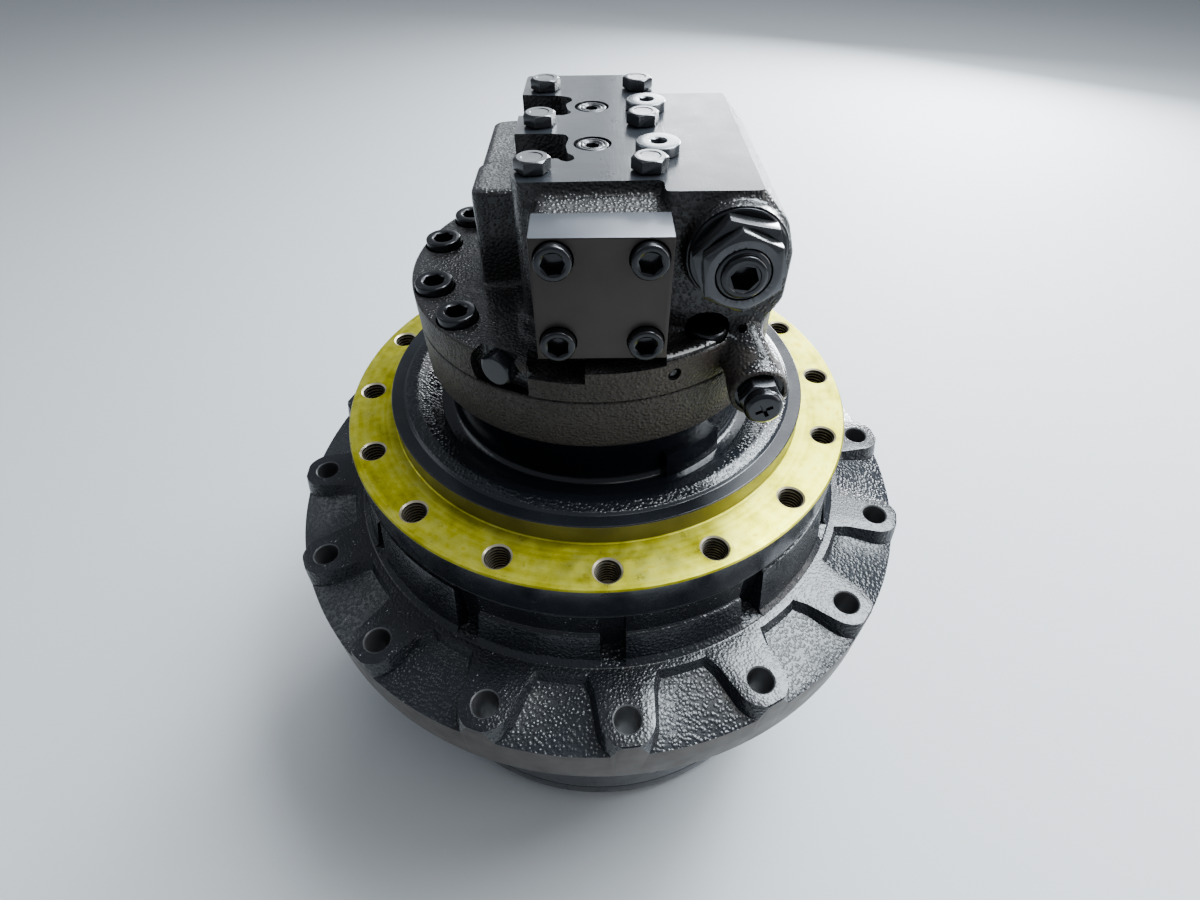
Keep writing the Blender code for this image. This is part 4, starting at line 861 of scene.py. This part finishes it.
def rough_cover():
    """The casting before any machining, as crossing solids."""
    strip = block("strip", fillet(STRIP), 114, 219)
    flank = [(-80, -38, 7), (-20, -38, 0), (-20, 113, 0), (-79, 104, 9), (-79, 20, 12)]
    left = block("left", fillet(flank), 114, 186.5)
    shelf = block("shelf", fillet([(-79, -38, 6), (-40, -38, 0), (-40, 14, 0), (-79, 14, 14)]), 150, 191)
    right = front_block("right", fillet(RIGHT_BLOCK), 67, -98)
    neck = neck_block()
    slope = front_block("slope", [(-37, 114), (0, 114), (0, 201), (-37, 201)], -50, -92)
    boss = front_block("boss", ellipse(SPOOL_X, SPOOL_Z, 29.5, 29.5, 48), -80, -109)
    root, mouth = ellipse(95, 117, 14.8, 16.6), ellipse(VALVE_X, VALVE_Z, 18, 18)
    arm = front_stack("arm", [(root, -62), (root, -99), (mouth, -124)])
    cup = front_block("cup", ellipse(VALVE_X, VALVE_Z, 19, 19), -110, -129.5)
    disc = block("disc", ring_points(134.4, 128), 100, 122.6)
    rim = arc_band(125, 134.6, -93, -52, 110, 126.2)
    footprint = [
        (-46, -104, 12),
        (60, -104, 10),
        (100, -92, 8),
        (120, -40, 8),
        (120, 40, 10),
        (60, 72, 10),
        (-70, 60, 10),
    ]
    foot = block("foot", fillet(footprint), 110, 124.5)
    return joined("rough_cover", [strip, left, shelf, right, neck, slope, boss, arm, cup, disc, rim, foot])


def valve_cover():
    piece = remeshed(link("valve_cover", rough_cover()), 1.7)
    soften(piece, 0.5, 7)
    pockets = joined("pockets", [block("p", fillet(p), 188.5, 232) for p in (FRONT_POCKET, REAR_POCKET)])
    boolean(piece, pockets, solver="MANIFOLD")
    soften(piece, 0.4, 3)
    edge = [
        (60, 96.3),
        (135.4, 96.3, 0.6),
        (136.2, 97.2, 0.6),
        (136.2, 121.2, 1.0),
        (135, 122.4, 1.2),
        (131, 122.4, 0.5),
        (128, 121, 0),
        (60, 116, 0),
    ]
    boolean(piece, lathe("disc_edge", edge, None, 160), "UNION", "MANIFOLD")
    boolean(piece, block("under", ring_points(90, 64), 60, 108), solver="MANIFOLD")
    flats = [
        block("top", rectangle(-90, 140, -140, 140), STRIP_TOP, 240),
        front_block("face", [(-35.5, 120), (44.5, 120), (44.5, 207.4), (-35.5, 207.4)], -101.7, -150),
        front_block("spool_face", ellipse(SPOOL_X, SPOOL_Z, 33, 33, 48), -107, -150),
        front_block("valve_face", ellipse(105.8, 97, 15.9, 15.9), -126.8, -150),
        block("notch", rectangle(-42.5, -6.2, -150, -112.3), 112, 127.9),
    ]
    for cutter in flats:
        boolean(piece, cutter, solver="MANIFOLD")
    seats = []
    for degrees in COVER_SCREWS:
        turn = math.radians(degrees)
        x, y = COVER_SCREW_CIRCLE * math.cos(turn), COVER_SCREW_CIRCLE * math.sin(turn)
        top = 129 if degrees == 307.0 else 131.5
        bm = bmesh.new()
        rings = [(14.6, 110.4), (14.6, top), (12.5, top + 5), (7.5, top + 8.5), (3, top + 9.5)]
        stack(bm, [(ring_points(radius, 48, (x, y)), z) for radius, z in rings])
        seats.append(mesh_of("seat", bm))
    boolean(piece, joined("seats", seats), solver="MANIFOLD")
    bores = [cylinder("bolt", x, y, 190, 230, 5.0) for x, y in PORT_BOLTS]
    bores += [cylinder("cap", x, y, 190, 230, 8) for x, y in PORT_CAPS]
    bores += [cylinder("gauge", x, y, 205, 230, 11.9) for x, y in GAUGE_PLUGS]
    bores += [cylinder("drilling", 94.2, -103, 118, 145, 2.8, 24)]
    boolean(piece, joined("bores", bores), solver="MANIFOLD")
    drain = spun("drain_seat", [(0, 0), (20.5, 0), (20.5, 20), (0, 20)], None, 64)
    at_drain = radial(DRAIN, 127.6, 108)
    drain.transform(at_drain)
    boolean(piece, drain, solver="MANIFOLD")
    beside = prism("drain_side", fillet([(-2, -12, 0), (23, -12, 4), (23, 9, 4), (-2, 9, 0)]), 0.4, 20)
    beside.transform(at_drain)
    boolean(piece, beside, solver="MANIFOLD")
    small = spun("small_plug", [(0, -2), (2.4, -2), (2.4, -4.5), (4.6, -4.5), (4.6, 6), (0, 6)], None, 32)
    small.transform(radial(math.atan2(-126.5, 50.4), 136.2, 111.6))
    boolean(piece, small, solver="MANIFOLD")
    side = spun("side_hole", [(0, -14), (4, -14), (4, 16), (0, 16)], None, 24)
    side.transform(radial(math.atan2(-70, 118), 137.2, 117))
    boolean(piece, side, solver="MANIFOLD")
    piece.data.materials.clear()
    piece.data.materials.append(CAST)

    def on_strip(x, y, z, n):
        return z > 215.9 and n.z > 0.9 and x <= 43.6

    def on_block(x, y, z, n):
        return z > 215.9 and n.z > 0.9 and x > 43.6

    def faced(x, y, z, n):
        return n.y < -0.95 and (abs(y + 107) < 0.1 or abs(y + 126.8) < 0.1 or abs(y + 101.7) < 0.1)

    def turned_rim(x, y, z, n):
        return math.hypot(x, y) > 135.3 and z < 122 and abs(n.z) < 0.8

    # Faces along the top edge of the rim band, broken up by noise: paint chips and a painted highlight on the casting
    # ridge.
    def chips_and_highlight(x, y, z, n):
        near = 124.4 < z < 126.4 and math.hypot(x, y) > 132.7 and -74 < math.degrees(math.atan2(y, x)) < -50
        return near and noise.noise(Vector((x, y, z)) * 0.45) > -0.3

    paint_where(piece, BROWN_CAST, turned_rim)
    paint_where(piece, CHIP_HIGHLIGHT, chips_and_highlight)
    paint_where(piece, TOP, on_strip)
    paint_where(piece, GROUND, on_block)
    paint_where(piece, MACHINED, faced)
    smooth(piece, 38)
    return stand_for(piece, "spindle", "motor_cover")


# Screws, bolts and plugs


def taken(piece, angle=30):
    """The finished mesh of a piece that was only a template."""
    mesh = smooth(piece, angle).data
    bpy.data.objects.remove(piece)
    return mesh


def hexagon(flats, turn):
    corner = flats / math.sqrt(3)
    turns = [turn + math.pi * i / 3 for i in range(6)]
    return [(corner * math.cos(t), corner * math.sin(t)) for t in turns]


def cut_hexagon(piece, flats, low, high, turn=0.0):
    boolean(piece, prism("socket", hexagon(flats, turn), low, high, piece.data.materials[0]))
    return piece


def socket_screw(name, radius, height, socket, shank, length, material, turn=0.0, edge=1.6):
    """A cap screw standing on its seat at z = 0, with a hexagon socket."""
    profile = [
        (0, -length),
        (shank, -length, 1),
        (shank, 0, 0),
        (radius - 0.6, 0, 0),
        (radius, 0.6, 0.4),
        (radius, height, edge),
        (socket * 0.62, height, 0.7),
        (socket * 0.5, height - 0.9, 0),
        (0, height - 0.9),
    ]
    piece = link(name, spun(name, profile, material, 56, 32))
    cut_hexagon(piece, socket, height - 0.55 * height, height + 3, turn)
    return taken(piece, 32)


def hex_bolt(name, flats, height, shank, length, material, turn=0.0, dish=0.0, bore=0.0):
    """A hexagon head with a chamfered top and a washer face, standing on its seat at z = 0."""
    corner = flats / math.sqrt(3)
    lathe_profile = [(0, -length), (shank, -length, 0.5), (shank, 0, 0)] if length else [(0, 0)]
    lathe_profile += [
        (flats * 0.47, 0, 0),
        (flats * 0.47, 0.5, 0),
        (corner + 0.5, 0.5 + 0.4, 0),
        (corner + 0.5, height - 1.35, 0),
        (flats * 0.47, height, 0.5),
        (flats * 0.34, height, 0.4),
        (flats * 0.30, height - dish, 0.3),
        (0, height - dish),
    ]
    piece = link(name, spun(name, lathe_profile, material, 96, 32))
    sides = prism("hexagon", hexagon(flats, turn), -length - 2, height + 2, material)
    boolean(piece, sides, "INTERSECT")
    if bore:
        hole = [(0, -3), (bore, -3), (bore, height + 3), (0, height + 3)]
        boolean(piece, spun("bore", hole, material, 64))
    bevel(piece, 0.35, 2, 30)
    return taken(piece, 25)


def put(name, mesh, node, matrix):
    piece = link(name, mesh.copy(), matrix)
    return stand_for(piece, "spindle", node)


def fasteners():
    screw = socket_screw("cover_screw_look", 13.5, 18, 14, 9, 44, SCREW, 0.2)
    for index, degrees in enumerate(COVER_SCREWS, 1):
        angle = math.radians(degrees)
        turn = Matrix.Rotation(index * 1.1, 4, "Z")
        spot = polar(COVER_SCREW_CIRCLE, angle, COVER_SCREW_SEAT)
        put(f"cover_screw_look_{index}", screw, f"cover_screw_{index}", Matrix.Translation(spot) @ turn)
    screw = socket_screw("plate_screw_look", 10.5, 14, 12, 7, 39, SCREW, 0.1, 2.2)
    for index, (x, z) in enumerate(PLATE_SCREWS):
        node = nearest("front_plate_screw_", 4, place(x, -125, z))
        turn = Matrix.Rotation(index * 0.7, 4, "Z")
        put(f"plate_screw_look_{index}", screw, node, Matrix.Translation(place(x, -122.6, z)) @ FRONT @ turn)
    bolt = hex_bolt("port_bolt_look", 19, 7.8, 5, 19, BOLT, 0.0, 0.35)
    for index, (x, y) in enumerate(PORT_BOLTS):
        node = nearest("port_bolt_", 6, place(x, y, 219))
        turn = Matrix.Rotation((0.12, 0.30, 0.18, 0.05, 0.22, -0.1)[index], 4, "Z")
        put(f"port_bolt_look_{index}", bolt, node, Matrix.Translation(place(x, y, STRIP_TOP + 0.2)) @ turn)
    cap = socket_screw("port_cap_look", 13.6, 6.3, 9, 7.5, 12, GROUND, 0.3, 1.1)
    gauge = gauge_plug()
    for name, at_cap, at_plug in zip(("front", "rear"), PORT_CAPS, GAUGE_PLUGS):
        put(f"port_cap_look_{name}", cap, f"port_cap_{name}", Matrix.Translation(place(*at_cap, STRIP_TOP + 0.2)))
        put(f"gauge_plug_look_{name}", gauge, f"gauge_plug_{name}", Matrix.Translation(place(*at_plug, 215.6)))
    spool_plug()
    relief_valve()
    drain = hex_bolt("drain_plug_look", 20.5, 9, 8, 14, MACHINED, 0.5)
    put("drain_plug_look", drain, "drain_plug", radial(DRAIN, 127.8, 110.5))


def nearest(prefix, count, spot):
    """The CAD node of this row whose middle is closest to the spot."""
    names = [f"{prefix}{index}" for index in range(1, count + 1)]

    def distance(name):
        low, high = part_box(name)
        return ((Vector(low) + Vector(high)) / 2 - spot).length

    return min(names, key=distance)


def gauge_plug():
    profile = [
        (0, -9.8),
        (10.4, -9.8),
        (10.4, -0.3, 0.5),
        (9.2, 0.2, 0.3),
        (8.2, 0.2, 0.2),
        (7.6, -0.5, 0.3),
        (6.9, 0.1, 0.2),
        (6.0, 0.1, 0.2),
        (5.2, -0.6, 0),
        (0, -0.6),
    ]
    piece = link("gauge_plug_look", spun("gauge_plug_look", profile, PLUG, 56, 30))
    return taken(cut_hexagon(piece, 8, -5.5, 3, 0.4))


def spool_plug():
    profile = [(0, -30), (19.8, -30), (19.8, 0), (28.3, 0), (28.3, 0.9, 0.4), (27.3, 1.5, 0.3), (0, 1.5)]
    piece = link("spool_plug_look", spun("spool_plug_look", profile, SCREW, 96, 30))
    head = hex_bolt("spool_hexagon", 48.6, 11.4, 15, 1, BOLT, 0.85)
    head.transform(Matrix.Translation((0, 0, 0.0012)))
    boolean(piece, head, "UNION")
    rod = [
        (0, 10),
        (15.2, 10),
        (15.2, 21.6, 0.3),
        (14.6, 22.2, 0.3),
        (12.9, 22.2, 0.2),
        (12.9, 25, 1.4),
        (10.9, 25.7, 0.5),
        (9.2, 25.7, 0.4),
        (8.7, 25.0, 0),
        (0, 25.0),
    ]
    rod = link("adjuster", spun("adjuster", rod, SCREW, 64, 30))
    boolean(piece, taken(cut_hexagon(rod, 14, 15, 29, 0.9)), "UNION")
    piece.matrix_world = Matrix.Translation(place(SPOOL_X, SPOOL_SEAT, SPOOL_Z)) @ FRONT
    stand_for(smooth(piece, 30), "spindle", "spool_plug")
    nut_piece = link("lock_nut_look", hex_bolt("lock_nut_look", 43, 8.5, 15.9, 0, BOLT, 0.65, 0.0, 15.9))
    nut_piece.matrix_world = Matrix.Translation(place(SPOOL_X, SPOOL_SEAT - 13.3, SPOOL_Z)) @ FRONT
    stand_for(smooth(nut_piece, 30), "spindle", "spool_lock_nut")


def relief_valve():
    base = hex_bolt("valve_hexagon", 24.6, 10.2, 9, 22, BOLT, 0.03)
    piece = link("relief_valve_look", base)
    cap = [(0, 8), (11.4, 8), (11.4, 12.4, 0.5), (12.2, 13, 0.5), (12.2, 16.6, 2.2), (9.6, 18.2, 1.5), (0, 18.2)]
    boolean(piece, spun("valve_cap", cap, SCREW, 56, 30), "UNION")
    for turn in (0.5, 0.5 + math.pi / 2):
        slot = bmesh.new()
        bmesh.ops.create_cube(slot, size=1)
        bmesh.ops.scale(slot, vec=(0.0115, 0.0024, 0.006), verts=slot.verts)
        bmesh.ops.rotate(slot, matrix=Matrix.Rotation(turn, 3, "Z"), verts=slot.verts)
        bmesh.ops.translate(slot, vec=(0, 0, 0.0185), verts=slot.verts)
        boolean(piece, mesh_of("slot", slot, SCREW))
    piece.matrix_world = Matrix.Translation(place(106, -127.1, 97)) @ FRONT
    stand_for(smooth(piece, 30), "spindle", "relief_valve")


def front_plate():
    outline = [(-34.5, 128), (43.5, 128), (43.5, 206.6), (-34.5, 206.6)]
    piece = link("front_plate_look", front_block("front_plate_look", outline, -102, -131, PLATE))
    bevel(piece, 0.7, 2, 40)
    bores = []
    for x, z in PLATE_SCREWS:
        bore = spun("counterbore", [(0, -14), (11.2, -14), (11.2, 0), (11.8, 0.6), (11.8, 9), (0, 9)], PLATE, 56, 30)
        bore.transform(Matrix.Translation(place(x, -130.9, z)) @ FRONT)
        bores.append(bore)
    cutter = joined("counterbores", bores)
    cutter.materials.append(MACHINED)
    boolean(piece, cutter)
    # The top face is painted lighter: painted sheen where the light from above falls.
    paint_where(piece, PLATE_TOP_SHEEN, lambda x, y, z, n: n.z > 0.9 and z > 206)
    stand_for(smooth(piece, 30), "spindle", "front_plate")


def ring_gear():
    """The CAD ring with its outside turned round, which the many-sided solid only comes near."""
    profile = [
        (212, -182.7, 0),
        (231.4, -182.7, 0.5),
        (232, -183.4, 0.4),
        (232, -351.2, 0.5),
        (231.4, -351.9, 0.3),
        (212, -351.9, 0),
    ]
    piece = link("ring_gear_look", lathe("ring_gear_look", profile, MACHINED))
    node = nodes["ring_gear"]
    teeth = node.data.copy()
    teeth.transform(node.matrix_world)
    for vert in teeth.vertices:
        radius = math.hypot(vert.co.x, vert.co.y)
        if radius > 0.220:  # the many-sided outside goes in under the turned one
            vert.co.x *= 0.226 / radius
            vert.co.y *= 0.226 / radius
    boolean(piece, teeth, "UNION")
    return stand_for(smooth(piece, 30), "hub", "ring_gear")


spindle()
hub()
ring_gear()
end_cover()
valve_cover()
front_plate()
fasteners()

# Floor, light, camera

floor_mesh = bpy.data.meshes.new("floor")
bm = bmesh.new()
bmesh.ops.create_grid(bm, x_segments=1, y_segments=1, size=9)
bm.to_mesh(floor_mesh)
bm.free()
floor_material, _, floor_shader = tree_of("pale_floor")
floor_shader.inputs["Base Color"].default_value = (0.50, 0.515, 0.53, 1)
floor_shader.inputs["Roughness"].default_value = 0.7
floor_mesh.materials.append(floor_material)
floor = link("floor", floor_mesh)
floor.location.z = -0.0005

world = bpy.data.worlds.new("studio")
bpy.context.scene.world = world
world.use_nodes = True
world.node_tree.nodes["Background"].inputs["Color"].default_value = (0.78, 0.84, 0.92, 1)
world.node_tree.nodes["Background"].inputs["Strength"].default_value = 0.36


def softbox(name, location, target, size, power, colour=(1, 1, 1)):
    lamp = bpy.data.lights.new(name, "AREA")
    lamp.shape = "RECTANGLE"
    lamp.size, lamp.size_y = size
    lamp.energy = power
    lamp.color = colour
    holder = bpy.data.objects.new(name, lamp)
    bpy.context.scene.collection.objects.link(holder)
    holder.location = location
    aim = Vector(target) - Vector(location)
    holder.rotation_euler = aim.to_track_quat("-Z", "Y").to_euler()


softbox("low_window", (0.9, 2.6, 1.2), (0, 0, 0.6), (1.5, 1.4), 50, (0.93, 0.97, 1.0))
softbox("left_window", (-0.3, 2.7, 1.65), (0, 0, 0.6), (0.6, 0.9), 3, (0.93, 0.97, 1.0))
softbox("low_right", (1.6, 2.25, 0.95), (0, 0, 0.6), (0.8, 0.9), 70, (0.95, 0.98, 1.0))
softbox("high_right", (0.85, 1.3, 2.6), (0.1, -0.1, 0.35), (1.9, 1.9), 34, (0.95, 0.98, 1.0))
softbox("sky_right", (1.35, 0.5, 2.55), (0.19, -0.2, 0.3), (1.7, 1.4), 120, (0.88, 0.95, 1.0))
softbox("right_side", (2.3, -0.7, 1.15), (0, 0, 0.4), (1.6, 1.7), 22, (1.0, 0.98, 0.95))
softbox("left_side", (-2.0, 0.6, 1.9), (0, 0, 0.3), (1.1, 1.1), 4, (0.90, 0.95, 1.0))
softbox("overhead", (0.35, -0.35, 2.7), (0.05, -0.1, 0.5), (0.8, 0.8), 5, (1.0, 0.99, 0.96))

camera_data = bpy.data.cameras.new("camera")
camera_data.sensor_width = 36
camera_data.sensor_fit = "HORIZONTAL"
camera_data.lens = camera_data.sensor_width * FOCAL_PIXELS / PICTURE_WIDTH
camera = bpy.data.objects.new("camera", camera_data)
bpy.context.scene.collection.objects.link(camera)
forward = Vector(CAMERA_FORWARD).normalized()
up = Vector(CAMERA_UP).normalized()
right = forward.cross(up).normalized()
up = right.cross(forward).normalized()
turn = Matrix((right, up, -forward)).transposed().to_4x4()
camera.matrix_world = Matrix.Translation(place(*CAMERA_SPOT)) @ turn
bpy.context.scene.camera = camera
bpy.context.scene.view_settings.view_transform = "AgX"
bpy.context.scene.view_settings.look = "AgX - Medium High Contrast"

bpy.context.view_layer.update()
